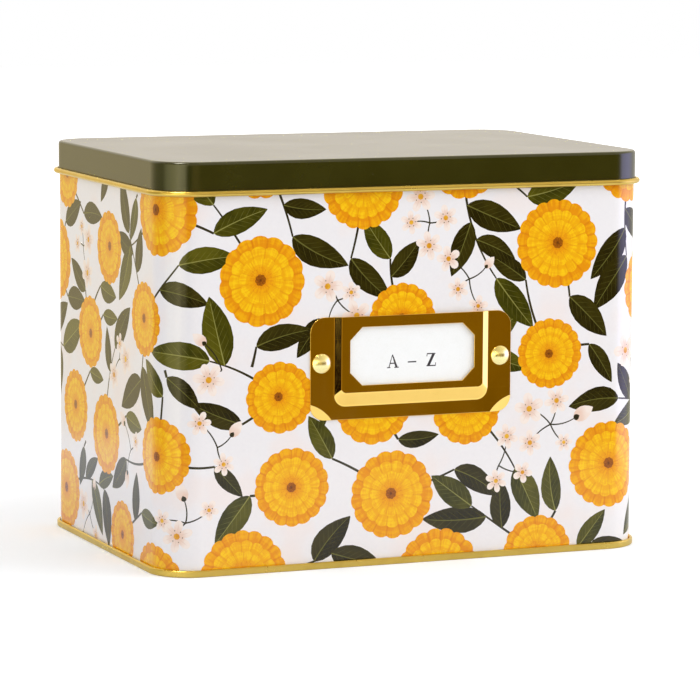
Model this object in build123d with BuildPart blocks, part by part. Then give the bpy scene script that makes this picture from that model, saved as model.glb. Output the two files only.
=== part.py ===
"""Rectangular card tin with a slip-on lid and a stamped brass label holder, in millimetres.

The origin is the middle of the foot, +Z is up and the label holder is on the front, which faces -Y.
"""

import os
from math import sqrt

from build123d import *

# Tin body: outer faces of the printed wall
body_width = 170.0
body_depth = 116.5
corner_radius = 12.7
tin_height = 133.0
sheet = 0.25

# Lap of a flat plate and the flat end of its bent rim, which together are one sheet
flat_lap = 0.4

# Mouth of the body: its top edge, rolled inwards
mouth_roll = 1.6
mouth_roll_turn = 300.0

# Lid
lid_depth = 11.0
lid_slip = 0.12
lid_seat = 0.1
lid_edge_radius = 1.0
lid_roll = 1.85
lid_roll_turn = 300.0

# Foot: the double seam that joins the bottom panel to the wall
seam_height = 2.3
seam_gap = 0.17
seam_bend = 0.45
chuck_gap = 0.05
countersink = 2.6
panel_bend = 0.8

# Lock seam of the wall, at the middle of the back
lock_seam_width = 5.5
lock_seam_layers = 3
lock_seam_end_gap = 0.3
lock_groove_width = 0.4
lock_groove_depth = 0.1

# Label holder: a plate with a raised pocket that is open at its top
holder_width = 71.0
holder_height = 33.5
holder_corner = 5.0
holder_sheet = 0.45
holder_centre_height = 65.25
pocket_rise = 1.0
pocket_width = 49.4
pocket_side_slope = 2.8
pocket_floor_height = 9.0
pocket_floor_slope = 4.9
pocket_corner = 1.4
pocket_foot_corner = 4.2
window_width = 43.9
window_height = 18.9
window_chamfer = 4.2
window_centre_rise = 3.75

# Label card
card_thickness = 0.3
card_back_gap = 0.15
card_edge_gap = 0.25
card_top_inset = 1.0

# Brads: a domed cap crimped on a strip with two legs
brad_spacing = 63.2
brad_rise = 1.85
brad_hole = 3.2
cap_diameter = 6.3
cap_height = 1.45
cap_rim = 0.3
cap_sheet = 0.25
cap_lip = 1.3
cap_clearance = 0.05
leg_width = 2.4
leg_thickness = 0.35
leg_split = 0.2
leg_length = 7.5
leg_bend = 0.3

# Places that follow from the sizes above
front = -body_depth / 2
inner_front = front + sheet
back = body_depth / 2
hook_radius = seam_gap + sheet
hook_height = 2 * sheet + seam_gap + hook_radius - sheet / 2
fold_height = seam_height - sheet / 2 - hook_radius
mouth_top = tin_height - sheet - lid_seat
holder_front = front - holder_sheet
brad_height = holder_centre_height + brad_rise


def wall_path():
    """Closed path round the outer face of the wall, from the middle of the front."""
    half_width = body_width / 2
    half_depth = body_depth / 2
    with BuildLine() as path:
        FilletPolyline(
            (0, -half_depth),
            (half_width, -half_depth),
            (half_width, half_depth),
            (0, half_depth),
            radius=corner_radius,
        )
        mirror(about=Plane.YZ)
    return path.wire()


def front_section():
    """Plane across the wall at the middle of the front: X outwards from its face, Y up."""
    return Plane(origin=(0, front, 0), x_dir=(0, -1, 0), z_dir=(-1, 0, 0))


# Body wall: rolled mouth, wall and the hook of the foot seam, all one sheet
with BuildPart() as body_wall:
    with BuildSketch(front_section()):
        with BuildLine():
            roll_radius = (mouth_roll - sheet) / 2
            CenterArc(
                (-sheet / 2 - roll_radius, mouth_top - mouth_roll / 2),
                roll_radius,
                0,
                mouth_roll_turn,
            )
            Line((-sheet / 2, mouth_top - mouth_roll / 2), (-sheet / 2, hook_height))
            hook = CenterArc((-sheet / 2 + hook_radius, hook_height), hook_radius, 180, 180)
            Line(hook @ 1, hook @ 1 + (0, fold_height - hook_height))
            offset(amount=sheet / 2, side=Side.BOTH)
        make_face()
    sweep(path=wall_path())

    lock_seam_foot = countersink + sheet + lock_seam_end_gap
    lock_seam_top = mouth_top - mouth_roll - lock_seam_end_gap
    with BuildSketch(Plane.XY.offset(lock_seam_foot)):
        with Locations((0, back - sheet)):
            Rectangle(lock_seam_width, lock_seam_layers * sheet, align=(Align.CENTER, Align.MAX))
    extrude(amount=lock_seam_top - lock_seam_foot)
    with BuildSketch(Plane.XY.offset(lock_seam_foot)):
        with Locations((lock_seam_width / 2, back)):
            Rectangle(lock_groove_width, lock_groove_depth, align=(Align.CENTER, Align.MAX))
    extrude(amount=lock_seam_top - lock_seam_foot, mode=Mode.SUBTRACT)

    with BuildSketch(Plane.XZ.offset(-inner_front)):
        with Locations((0, brad_height)):
            with GridLocations(brad_spacing, 0, 2, 1):
                Circle(brad_hole / 2)
    extrude(amount=sheet, mode=Mode.SUBTRACT)

# Bottom panel: countersunk plate whose rim folds round the wall's hook
with BuildPart() as bottom_panel:
    chuck = -sheet - chuck_gap - sheet / 2
    rim = 3 * (seam_gap + sheet) - sheet / 2
    panel_level = countersink + sheet / 2
    with BuildSketch(front_section()):
        with BuildLine():
            FilletPolyline(
                (chuck - panel_bend - 2 * flat_lap, panel_level),
                (chuck, panel_level),
                (chuck, sheet / 2),
                (rim, sheet / 2),
                (rim, fold_height),
                radius=[panel_bend, seam_bend, seam_bend],
            )
            fold = CenterArc((rim - hook_radius, fold_height), hook_radius, 0, 180)
            Line(fold @ 1, fold @ 1 - (0, fold_height - hook_height))
            offset(amount=sheet / 2, side=Side.BOTH)
        make_face()
    sweep(path=wall_path())

    plate_inset = panel_bend + flat_lap - chuck
    with BuildSketch(Plane.XY.offset(countersink)):
        RectangleRounded(
            body_width - 2 * plate_inset,
            body_depth - 2 * plate_inset,
            corner_radius - plate_inset,
        )
    extrude(amount=sheet)

# Lid: flat top, rounded edge, skirt and outward roll, all one sheet
with BuildPart() as lid:
    skirt = lid_slip + sheet / 2
    edge_bend = lid_edge_radius - sheet / 2
    lid_foot = tin_height - lid_depth
    with BuildSketch(front_section()):
        with BuildLine():
            roll_radius = (lid_roll - sheet) / 2
            FilletPolyline(
                (skirt - edge_bend - 2 * flat_lap, tin_height - sheet / 2),
                (skirt, tin_height - sheet / 2),
                (skirt, lid_foot + lid_roll / 2),
                radius=edge_bend,
            )
            CenterArc((skirt + roll_radius, lid_foot + lid_roll / 2), roll_radius, 180, lid_roll_turn)
            offset(amount=sheet / 2, side=Side.BOTH)
        make_face()
    sweep(path=wall_path())

    top_inset = edge_bend + flat_lap - skirt
    with BuildSketch(Plane.XY.offset(tin_height - sheet)):
        RectangleRounded(
            body_width - 2 * top_inset,
            body_depth - 2 * top_inset,
            corner_radius - top_inset,
        )
    extrude(amount=sheet)


def pocket_outline(slope_share, overshoot):
    """Outline of the pocket at a share of its slope, 0 at the foot and 1 at the raised face."""
    half_width = pocket_width / 2 + (1 - slope_share) * pocket_side_slope
    floor = -holder_height / 2 + pocket_floor_height - (1 - slope_share) * pocket_floor_slope
    radius = pocket_foot_corner + slope_share * (pocket_corner - pocket_foot_corner)
    top = holder_height / 2 + overshoot
    with BuildLine() as outline:
        FilletPolyline(
            (-half_width, top),
            (-half_width, floor),
            (half_width, floor),
            (half_width, top),
            radius=radius,
        )
        Line((half_width, top), (-half_width, top))
    return outline.wire()


# Label holder: plate on the wall's face, with its pocket raised as one shell
with BuildPart() as label_holder:
    holder_plane = Plane(origin=(0, front, holder_centre_height), x_dir=(1, 0, 0), z_dir=(0, -1, 0))
    with BuildSketch(holder_plane):
        RectangleRounded(holder_width, holder_height, holder_corner)
    extrude(amount=holder_sheet)

    with BuildSketch(holder_plane.offset(holder_sheet)):
        make_face(pocket_outline(0, 0))
    with BuildSketch(holder_plane.offset(holder_sheet + pocket_rise)):
        make_face(pocket_outline(1, 0))
    loft(ruled=True)

    with BuildSketch(holder_plane):
        make_face(pocket_outline(0, holder_sheet))
    with BuildSketch(holder_plane.offset(pocket_rise)):
        make_face(pocket_outline(1, holder_sheet))
    loft(ruled=True, mode=Mode.SUBTRACT)

    with BuildSketch(holder_plane.offset(pocket_rise)):
        with Locations((0, window_centre_rise)):
            window = Rectangle(window_width, window_height)
        chamfer(window.vertices(), length=window_chamfer)
    extrude(amount=holder_sheet, mode=Mode.SUBTRACT)

    with BuildSketch(holder_plane):
        with Locations((0, brad_rise)):
            with GridLocations(brad_spacing, 0, 2, 1):
                Circle(brad_hole / 2)
    extrude(amount=holder_sheet, mode=Mode.SUBTRACT)

# Label card: stands on the pocket's sloping floor
with BuildPart() as label_card:
    card_slope_share = (card_back_gap + card_thickness) / pocket_rise
    card_half_width = pocket_width / 2 + (1 - card_slope_share) * pocket_side_slope - card_edge_gap
    card_floor = holder_centre_height - holder_height / 2 + pocket_floor_height
    card_foot = card_floor - (1 - card_slope_share) * pocket_floor_slope + card_edge_gap
    card_top = holder_centre_height + holder_height / 2 - card_top_inset
    card_corner = pocket_foot_corner + card_slope_share * (pocket_corner - pocket_foot_corner)
    with BuildSketch(Plane.XZ.offset(-front + card_back_gap)):
        with Locations((0, (card_foot + card_top) / 2)):
            card_face = Rectangle(2 * card_half_width, card_top - card_foot)
        fillet(card_face.vertices().group_by(Axis.Y)[0], radius=card_corner)
    extrude(amount=card_thickness)


def dome_radius(base, height):
    """Radius of the sphere whose cap has this base radius and height."""
    return (base**2 + height**2) / (2 * height)


def brad_cap(centre):
    """Domed cap with its rim turned in under the head of the legs."""
    radius = cap_diameter / 2
    inner_radius = radius - cap_sheet
    outer_dome = dome_radius(radius, cap_height - cap_rim)
    inner_dome = dome_radius(inner_radius, cap_height - cap_sheet - cap_rim)
    axis_plane = Plane(origin=(centre, holder_front, brad_height), x_dir=(1, 0, 0), z_dir=(0, 0, 1))
    with BuildPart() as cap:
        with BuildSketch(axis_plane):
            with BuildLine():
                Line((0, -cap_height + cap_sheet), (0, -cap_height))
                RadiusArc((0, -cap_height), (radius, -cap_rim), -outer_dome)
                Polyline(
                    (radius, -cap_rim),
                    (radius, 0),
                    (radius - cap_lip, 0),
                    (radius - cap_lip, -cap_sheet),
                    (inner_radius, -cap_sheet),
                    (inner_radius, -cap_rim),
                )
                RadiusArc((inner_radius, -cap_rim), (0, -cap_height + cap_sheet), inner_dome)
            make_face()
        revolve(axis=Axis((centre, holder_front, brad_height), (0, 1, 0)))
    return cap.part


def brad_prongs(centre):
    """Head inside the cap and two legs, bent flat on the inner face of the wall."""
    inner_dome = dome_radius(cap_diameter / 2 - cap_sheet, cap_height - cap_sheet - cap_rim)
    head_back = holder_front - cap_sheet - cap_clearance
    head_front = head_back - leg_thickness
    crown_drop = head_front - cap_clearance - (holder_front - cap_height + cap_sheet)
    head_radius = sqrt(2 * inner_dome * crown_drop - crown_drop**2)
    leg_offset = (leg_split + leg_thickness) / 2
    leg_level = inner_front + leg_thickness / 2
    with BuildPart() as prongs:
        for side in (-1, 1):
            with BuildSketch(Plane.XY.offset(brad_height)):
                with BuildLine():
                    FilletPolyline(
                        (centre + side * leg_offset, head_back - leg_thickness / 2),
                        (centre + side * leg_offset, leg_level),
                        (centre + side * leg_length, leg_level),
                        radius=leg_bend,
                    )
                    offset(amount=leg_thickness / 2, side=Side.BOTH)
                make_face()
            extrude(amount=leg_width / 2, both=True)
        with BuildSketch(Plane.XZ.offset(-head_front)):
            with Locations((centre, brad_height)):
                SlotOverall(2 * leg_length, leg_width)
        extrude(amount=head_front - leg_level - leg_thickness, mode=Mode.INTERSECT)
        with BuildSketch(Plane.XZ.offset(-head_back)):
            with Locations((centre, brad_height)):
                Circle(head_radius)
        extrude(amount=leg_thickness)
    return prongs.part


tin_parts = {
    "body_wall": body_wall.part,
    "bottom_panel": bottom_panel.part,
    "lid": lid.part,
    "label_holder": label_holder.part,
    "label_card": label_card.part,
    "brad_cap_left": brad_cap(-brad_spacing / 2),
    "brad_cap_right": brad_cap(brad_spacing / 2),
    "brad_prongs_left": brad_prongs(-brad_spacing / 2),
    "brad_prongs_right": brad_prongs(brad_spacing / 2),
}

os.makedirs("parts", exist_ok=True)
for name, shape in tin_parts.items():
    shape.label = name
    export_step(shape, f"parts/{name}.step")
    print(name, "solids", len(shape.solids()), "valid", shape.is_valid, "volume", round(shape.volume, 1))
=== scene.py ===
"""Looks of a printed card tin: printed wall, enamelled lid, brass label holder, card and brads.

The tin stands on z = 0 with its label holder facing -Y. The classes work in millimetres, and each mesh
is brought to metres when it is made. A surface is worked out as arrays: a profile carried round the
tin's outline, a flat layout of outlines laid on a face, or a profile turned about an axis.
"""

import logging
import math
from dataclasses import dataclass, field
from enum import Enum

import bpy
import numpy as np
from mathutils import Matrix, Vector
from mathutils.geometry import delaunay_2d_cdt


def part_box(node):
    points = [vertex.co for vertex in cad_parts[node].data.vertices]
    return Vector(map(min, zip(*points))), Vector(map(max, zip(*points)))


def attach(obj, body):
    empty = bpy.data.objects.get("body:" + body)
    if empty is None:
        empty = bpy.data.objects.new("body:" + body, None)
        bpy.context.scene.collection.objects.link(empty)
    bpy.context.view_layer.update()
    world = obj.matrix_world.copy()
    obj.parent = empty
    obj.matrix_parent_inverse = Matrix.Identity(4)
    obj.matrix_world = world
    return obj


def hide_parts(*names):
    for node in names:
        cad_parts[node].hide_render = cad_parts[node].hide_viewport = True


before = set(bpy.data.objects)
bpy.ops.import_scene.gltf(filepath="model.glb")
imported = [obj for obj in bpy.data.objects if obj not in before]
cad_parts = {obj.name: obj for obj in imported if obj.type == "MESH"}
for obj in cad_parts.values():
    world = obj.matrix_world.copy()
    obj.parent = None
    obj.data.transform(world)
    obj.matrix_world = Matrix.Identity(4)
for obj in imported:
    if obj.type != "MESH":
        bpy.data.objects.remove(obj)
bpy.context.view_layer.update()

Array = np.ndarray
Colour = tuple[float, float, float]
Point = tuple[float, float]

METRE = 0.001
QUARTER = math.pi / 2
TURN = 2 * math.pi
FINE_STEPS = 1024.0
WELD = 1e-4
TOUCH = 5e-4
BAKE_MAP = "OFBake"
PLACE_MARK = "motif_place"
FORM_MARK = "motif_form"

log = logging.getLogger("card_tin")


def srgb(*channels: int) -> Colour:
    """Linear colour of a display colour from 0 to 255: the power 2.4 above a straight toe."""
    share = np.array(channels) / 255
    return tuple(np.where(share <= 0.04045, share / 12.92, ((share + 0.055) / 1.055) ** 2.4).tolist())


def fine(values: Array) -> Array:
    """Lengths rounded to 1 / 1024 mm, which single precision holds exactly, so that seams meet."""
    return np.round(np.asarray(values, float) * FINE_STEPS) / FINE_STEPS


def node_box(node: str) -> tuple[Array, Array]:
    """Lowest and highest corner of a CAD node in millimetres."""
    low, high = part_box(node)
    return np.array(low) / METRE, np.array(high) / METRE


def unit(vectors: Array) -> Array:
    """Vectors brought to length 1."""
    return vectors / np.linalg.norm(vectors, axis=-1, keepdims=True)


def polar(angle: Array | float) -> Array:
    """Unit vectors (cos, sin) of angles in radians."""
    return np.stack([np.cos(angle), np.sin(angle)], -1)


# ------------------------------------------------------------------ surfaces


@dataclass
class Patch:
    """One stretch of a mesh.

    Attributes:
        points: Points, shape (P, 3).
        faces: Point numbers of each face, shape (F, 3) or (F, 4), counter-clockwise from outside.
        normals: Normal at each point, shape (P, 3), or at each face corner, shape (F, k, 3).
        finish: Number of the finish, one for all faces or one for each.
        chart: Place on the bake image of each point, shape (P, 2), or face corner, or None.
        marks: Named values of each face corner, shape (F, k, 3).
    """

    points: Array
    faces: Array
    normals: Array
    finish: int | Array = 0
    chart: Array | None = None
    marks: dict[str, Array] = field(default_factory=dict)

    def flipped(self) -> "Patch":
        """The same stretch facing the other way; its chart goes by points."""
        normals = self.normals if self.normals.ndim == 2 else self.normals[:, ::-1]
        return Patch(self.points, self.faces[:, ::-1], -normals, self.finish, self.chart)


@dataclass
class Patchwork:
    """Patches, in millimetres, that are welded into one mesh."""

    patches: list[Patch]

    def mesh(self, name: str, finishes: list[bpy.types.Material]) -> bpy.types.Mesh:
        """Makes the mesh in metres. Points closer than the weld distance become one.

        Args:
            name: Its name.
            finishes: Materials, in the order of the patches' finish numbers.

        Returns:
            The mesh, with its own normals, chart and marks.
        """
        points = np.concatenate([patch.points for patch in self.patches])
        cells = np.floor(points / WELD + 0.317).astype(np.int64)
        _, first, same = np.unique(cells, axis=0, return_index=True, return_inverse=True)
        faces = self.corners(same.reshape(-1))
        mesh = bpy.data.meshes.new(name)
        mesh.from_pydata((points[first] * METRE).tolist(), [], faces)
        for finish in finishes:
            mesh.materials.append(finish)
        numbers = [np.broadcast_to(patch.finish, len(patch.faces)) for patch in self.patches]
        mesh.polygons.foreach_set("material_index", np.concatenate(numbers).astype(np.int32))
        mesh.polygons.foreach_set("use_smooth", np.ones(len(faces), bool))
        for mark in sorted({mark for patch in self.patches for mark in patch.marks}):
            layer = mesh.attributes.new(mark, "FLOAT_VECTOR", "CORNER")
            blank = [np.zeros((*patch.faces.shape, 3)) for patch in self.patches]
            rows = [patch.marks.get(mark, zero) for patch, zero in zip(self.patches, blank)]
            layer.data.foreach_set("vector", self.by_corner(rows).astype(np.float32).ravel())
        if all(patch.chart is not None for patch in self.patches):
            chart = self.by_corner([patch.chart for patch in self.patches])
            mesh.uv_layers.new(name=BAKE_MAP).data.foreach_set("uv", chart.astype(np.float32).ravel())
        normals = self.by_corner([patch.normals for patch in self.patches])
        mesh.normals_split_custom_set(unit(normals).tolist())
        return mesh

    def corners(self, same: Array) -> list[list[int]]:
        """Drops the second of two corners of a face that are in one place, as at a pole.

        Args:
            same: Number of each point after the weld.

        Returns:
            Point numbers of each face; which corners are kept is noted for by_corner.
        """
        faces, start = [], 0
        self.kept: list[Array] = []
        for patch in self.patches:
            numbers = same[patch.faces + start]
            kept = numbers != np.roll(numbers, -1, 1)
            faces += [row[keep].tolist() for row, keep in zip(numbers, kept)]
            self.kept.append(kept.reshape(-1))
            start += len(patch.points)
        return faces

    def by_corner(self, values: list[Array]) -> Array:
        """Spreads values over the face corners.

        Args:
            values: For each patch, values of its points or of its face corners.

        Returns:
            Values of each kept face corner in face order.
        """
        rows = []
        for patch, value, kept in zip(self.patches, values, self.kept):
            spread = value[patch.faces] if value.ndim == 2 else value
            rows.append(spread.reshape(-1, spread.shape[-1])[kept])
        return np.concatenate(rows)


def grid_faces(rows: int, columns: int) -> Array:
    """Faces of a grid numbered row by row: along the rows' direction first, then the columns'."""
    corner = np.arange(rows - 1)[:, None] * columns + np.arange(columns - 1)
    return np.stack([corner, corner + columns, corner + columns + 1, corner + 1], -1).reshape(-1, 4)


@dataclass(frozen=True)
class Outline:
    """Rounded rectangle round the tin, along the outer face of its wall.

    A station is the length along it from the lock seam, to the right as seen from outside: the back,
    the left side, the front, the right side and the back again.
    """

    half_width: float
    half_depth: float
    radius: float
    seam_x: float

    def centres(self) -> Array:
        """Arc centres in order, repeated at both ends of each arc, with the seam at both ends."""
        x, y = self.half_width - self.radius, self.half_depth - self.radius
        corners = np.repeat([(-x, y), (-x, -y), (x, -y), (x, y)], 2, axis=0)
        return np.vstack([(self.seam_x, y), corners, (self.seam_x, y)])

    def facings(self) -> Array:
        """Angle of the outward normal at the ends of each flat and arc."""
        return QUARTER * np.repeat(np.arange(1, 6), 2)

    def breaks(self) -> Array:
        """Stations of the ends of each flat and arc: each step adds its run and its turn."""
        runs = np.linalg.norm(np.diff(self.centres(), axis=0), axis=1)
        return fine(np.append(0.0, np.cumsum(runs + self.radius * np.diff(self.facings()))))

    @property
    def length(self) -> float:
        """Length once round."""
        return float(self.breaks()[-1])

    @property
    def front_middle(self) -> float:
        """Station of the middle of the front."""
        return float(self.breaks()[4:6].mean())

    def place(self, stations: Array, reach: Array | float) -> tuple[Array, Array, Array]:
        """Point at a station and a reach outwards from the wall's face.

        It is the arc centre there, plus (radius + reach) along the outward normal. Centres and normal
        angles are interpolated between the breaks, so that a flat keeps its angle and an arc its centre.

        Args:
            stations: Lengths along the outline.
            reach: Offsets outwards.

        Returns:
            The x and y of each point and the angle of its outward normal.
        """
        breaks, centres = self.breaks(), self.centres()
        angle = np.interp(stations, breaks, self.facings())
        x = np.interp(stations, breaks, centres[:, 0]) + (self.radius + reach) * np.cos(angle)
        y = np.interp(stations, breaks, centres[:, 1]) + (self.radius + reach) * np.sin(angle)
        return x, y, angle

    def stations(self, steps: int, extra: tuple[float, ...] = ()) -> Array:
        """Stations of a sweep once round.

        Args:
            steps: Equal steps of each corner arc.
            extra: More stations.

        Returns:
            The corner steps, the seam at both ends and the extra ones.
        """
        ends = self.breaks()[1:9].reshape(4, 2)
        arcs = [np.linspace(first, last, steps + 1) for first, last in ends]
        return np.unique(fine(np.concatenate([[0.0, self.length], *arcs, extra])))

    def sweep(self, stations: Array, line: Array, normals: Array, finish: int = 0) -> Patch:
        """Carries a line of a section round the outline, as one face of a sheet.

        Point (reach, height) of the line stands at each station at that reach and height, and its
        normal turns with the outline.

        Args:
            stations: Where the section is repeated.
            line: The section's points, shape (J, 2).
            normals: Their normals in the section, shape (J, 2).
            finish: Number of the finish.

        Returns:
            A patch of four-sided faces that faces to the right of the line's direction.
        """
        x, y, angle = self.place(stations[:, None], line[:, 0])
        points = np.stack(np.broadcast_arrays(x, y, line[:, 1]), -1)
        outwards = polar(angle) * normals[:, :1]
        facing = np.concatenate([outwards, np.broadcast_to(normals[:, 1:], (*x.shape, 1))], -1)
        faces = grid_faces(len(stations), len(line))
        return Patch(points.reshape(-1, 3), faces, facing.reshape(-1, 3), finish)


class Fold:
    """Centreline of a folded sheet in a section across the wall: (reach outwards, height).

    A pen starts with a heading; it runs straight or bends round an arc, and never kinks.
    """

    def __init__(self, reach: float, height: float, heading: float) -> None:
        """Starts the line at a place, with a heading in degrees: 0 outwards and 90 up."""
        self.places, self.headings = [np.array([reach, height], float)], [math.radians(heading)]

    def run(self, length: float) -> "Fold":
        """Goes straight on by a length."""
        self.places.append(self.places[-1] + length * polar(self.headings[-1]))
        self.headings.append(self.headings[-1])
        return self

    def bend(self, radius: float, turn: float, steps: int) -> "Fold":
        """Goes round an arc.

        Args:
            radius: Its radius.
            turn: Its angle in degrees, to the left where it is positive.
            steps: Number of straight pieces.

        Returns:
            The line itself.
        """
        start, heading, side = self.places[-1], self.headings[-1], math.copysign(radius, turn)
        centre = start + side * polar(heading + QUARTER)
        for angle in heading + math.radians(turn) * np.arange(1, steps + 1) / steps:
            self.places.append(centre - side * polar(angle + QUARTER))
            self.headings.append(angle)
        return self

    def side(self, offset: float) -> tuple[Array, Array]:
        """One face of the sheet: the line moved sideways, to the right where offset is positive.

        Args:
            offset: Half of the sheet's thickness, negative for the left face.

        Returns:
            Places and outward normals, shape (J, 2) each.
        """
        right = polar(np.array(self.headings) - QUARTER)
        return np.array(self.places) + offset * right, math.copysign(1.0, offset) * right


# ------------------------------------------------------------------ flat layouts


def inside(loop: Array, points: Array) -> Array:
    """Tells which points a loop holds: a line to the right of each crosses it an odd number of times.

    Args:
        loop: Corners of the loop, shape (N, 2).
        points: The points, shape (P, 2).

    Returns:
        Whether each is inside.
    """
    step = np.roll(loop, -1, 0) - loop
    above = points[:, None, 1] < loop[:, 1]
    share = (points[:, None, 1] - loop[:, 1]) / np.where(step[:, 1] == 0, 1.0, step[:, 1])
    crossed = (above != np.roll(above, -1, 1)) & (points[:, None, 0] < loop[:, 0] + share * step[:, 0])
    return crossed.sum(1) % 2 == 1


def clipped(loop: Array, limits: Array) -> Array:
    """Cuts a loop by the sides of a box; each edge that crosses a side gets a point on it.

    Args:
        loop: Its corners, shape (N, 2).
        limits: Lowest and highest corner of the box.

    Returns:
        The corners that are left, perhaps none.
    """
    for axis, end, sign in ((0, 0, 1), (0, 1, -1), (1, 0, 1), (1, 1, -1)):
        if len(loop) > 2:
            side = (loop[:, axis] - limits[end, axis]) * sign
            crossing = (side > 0) != np.roll(side > 0, -1)
            share = np.where(crossing, side / np.where(crossing, side - np.roll(side, -1), 1.0), 0.0)
            both = np.stack([loop, loop + share[:, None] * (np.roll(loop, -1, 0) - loop)], 1)
            loop = both[np.stack([side > 0, crossing], 1)]
    return loop


class Layout:
    """Flat layout of a sheet: its edge, then closed loops in paint order, and lines that faces follow."""

    def __init__(self, edge: Array) -> None:
        """Starts with the sheet's edge, shape (N, 2), in millimetres."""
        self.loops = [fine(edge)]
        self.holes: set[int] = set()
        self.lines: list[Array] = []

    def add(self, loop: Array) -> None:
        """Adds a closed loop over what is there."""
        self.loops.append(fine(loop))

    def cut(self, loop: Array) -> None:
        """Cuts a hole through the sheet."""
        self.holes.add(len(self.loops))
        self.add(loop)

    def follow(self, line: Array) -> None:
        """Adds an open line that no face crosses."""
        self.lines.append(fine(line))

    def divide(self) -> tuple[Array, Array, Array]:
        """Divides the sheet into triangles, each inside or outside of every loop.

        Returns:
            Points, shape (P, 2), triangles, shape (T, 3), and the number of the topmost loop that
            holds each triangle, 0 for the bare sheet.
        """
        corners, edges = [], []
        for number, line in enumerate(self.loops + self.lines):
            this = np.arange(len(line)) + len(corners)
            steps = np.stack([this, np.roll(this, -1)], 1)
            edges += (steps if number < len(self.loops) else steps[:-1]).tolist()
            corners += line.tolist()
        made = delaunay_2d_cdt(corners, edges, [], 0, TOUCH, False)
        points, triangles = np.array([tuple(point) for point in made[0]]), np.array(made[2])
        middles = points[triangles].mean(1)
        top, cut = np.full(len(triangles), -1), np.zeros(len(triangles), bool)
        for number, loop in enumerate(self.loops):
            near = np.flatnonzero(((middles > loop.min(0)) & (middles < loop.max(0))).all(1))
            held = near[inside(loop, middles[near])]
            top[held] = number
            cut[held] |= number in self.holes
        kept = (top >= 0) & ~cut
        return points, triangles[kept], top[kept]


# ------------------------------------------------------------------ printed design


class Ink(Enum):
    """Inks of the printed sheet, in the order of its material slots."""

    GROUND = 0
    AMBER = 1
    GOLD = 2
    HEART = 3
    LEAF = 4
    OLIVE = 5
    TWIG = 6
    BLUSH = 7
    DOT = 8


@dataclass(frozen=True)
class Motif:
    """One printed shape.

    Attributes:
        outline: Its edge on the sheet, shape (N, 2): station and height.
        ink: What it is printed with.
        origin: Its own zero on the sheet.
        angle: Direction of its own x axis.
        size: Length of its own unit.
        form: Three numbers that its ink reads: a bend or lobe count, a width or inner share, and a seed.
    """

    outline: Array
    ink: Ink
    origin: Array
    angle: float
    size: float
    form: tuple[float, float, float]


def placed(shape: Array, origin: Array, angle: float, size: float) -> Array:
    """A shape in its own units, turned by an angle, scaled and moved to its origin."""
    return origin + size * (shape[:, :1] * polar(angle) + shape[:, 1:] * polar(angle + QUARTER))


def leaf_shape(width: float, bend: float, steps: int = 11) -> Array:
    """Leaf of length 1: half width t^0.7 (1 - t)^0.95, scaled, about a midrib of height bend t^2.

    Args:
        width: Its greatest width.
        bend: Rise of its tip.
        steps: Points along each side.

    Returns:
        Its outline.
    """
    t = 0.5 - 0.5 * np.cos(np.pi * np.linspace(0, 1, steps))
    half = t**0.7 * (1 - t) ** 0.95
    half *= width / 2 / half.max()
    rib = bend * t**2
    return np.concatenate([np.stack([t, rib - half], 1), np.stack([t, rib + half], 1)[-2:0:-1]])


def lobed_shape(lobes: int, depth: float, power: float = 0.7, steps: int = 5) -> Array:
    """Lobed disc of radius 1: the radius falls by depth (1 - |sin(lobes angle / 2)|^power)."""
    angle = np.linspace(0, TURN, lobes * steps, endpoint=False)
    return (1 - depth * (1 - np.abs(np.sin(lobes * angle / 2)) ** power))[:, None] * polar(angle)


def ribbon(line: Array, widths: Array) -> Array:
    """Closed outline of a line drawn with a width at each point, half of it to either side."""
    along = unit(np.gradient(line, axis=0))
    across = along[:, ::-1] * (-0.5, 0.5) * widths[:, None]
    return np.concatenate([line - across, (line + across)[::-1]])


def curved_line(start: Array, heading: float, length: float, turn: float, steps: int) -> tuple[Array, Array]:
    """Line of a steady turn: its heading grows evenly from heading by turn over its length.

    Args:
        start: First point.
        heading: First heading in radians.
        length: Length of the line.
        turn: Whole change of heading.
        steps: Number of pieces.

    Returns:
        Points, shape (steps + 1, 2), and the heading at each.
    """
    headings = heading + turn * np.linspace(0, 1, steps + 1)
    strides = length / steps * polar((headings[:-1] + headings[1:]) / 2)
    return np.concatenate([start[None], start + np.cumsum(strides, 0)]), headings


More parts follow.
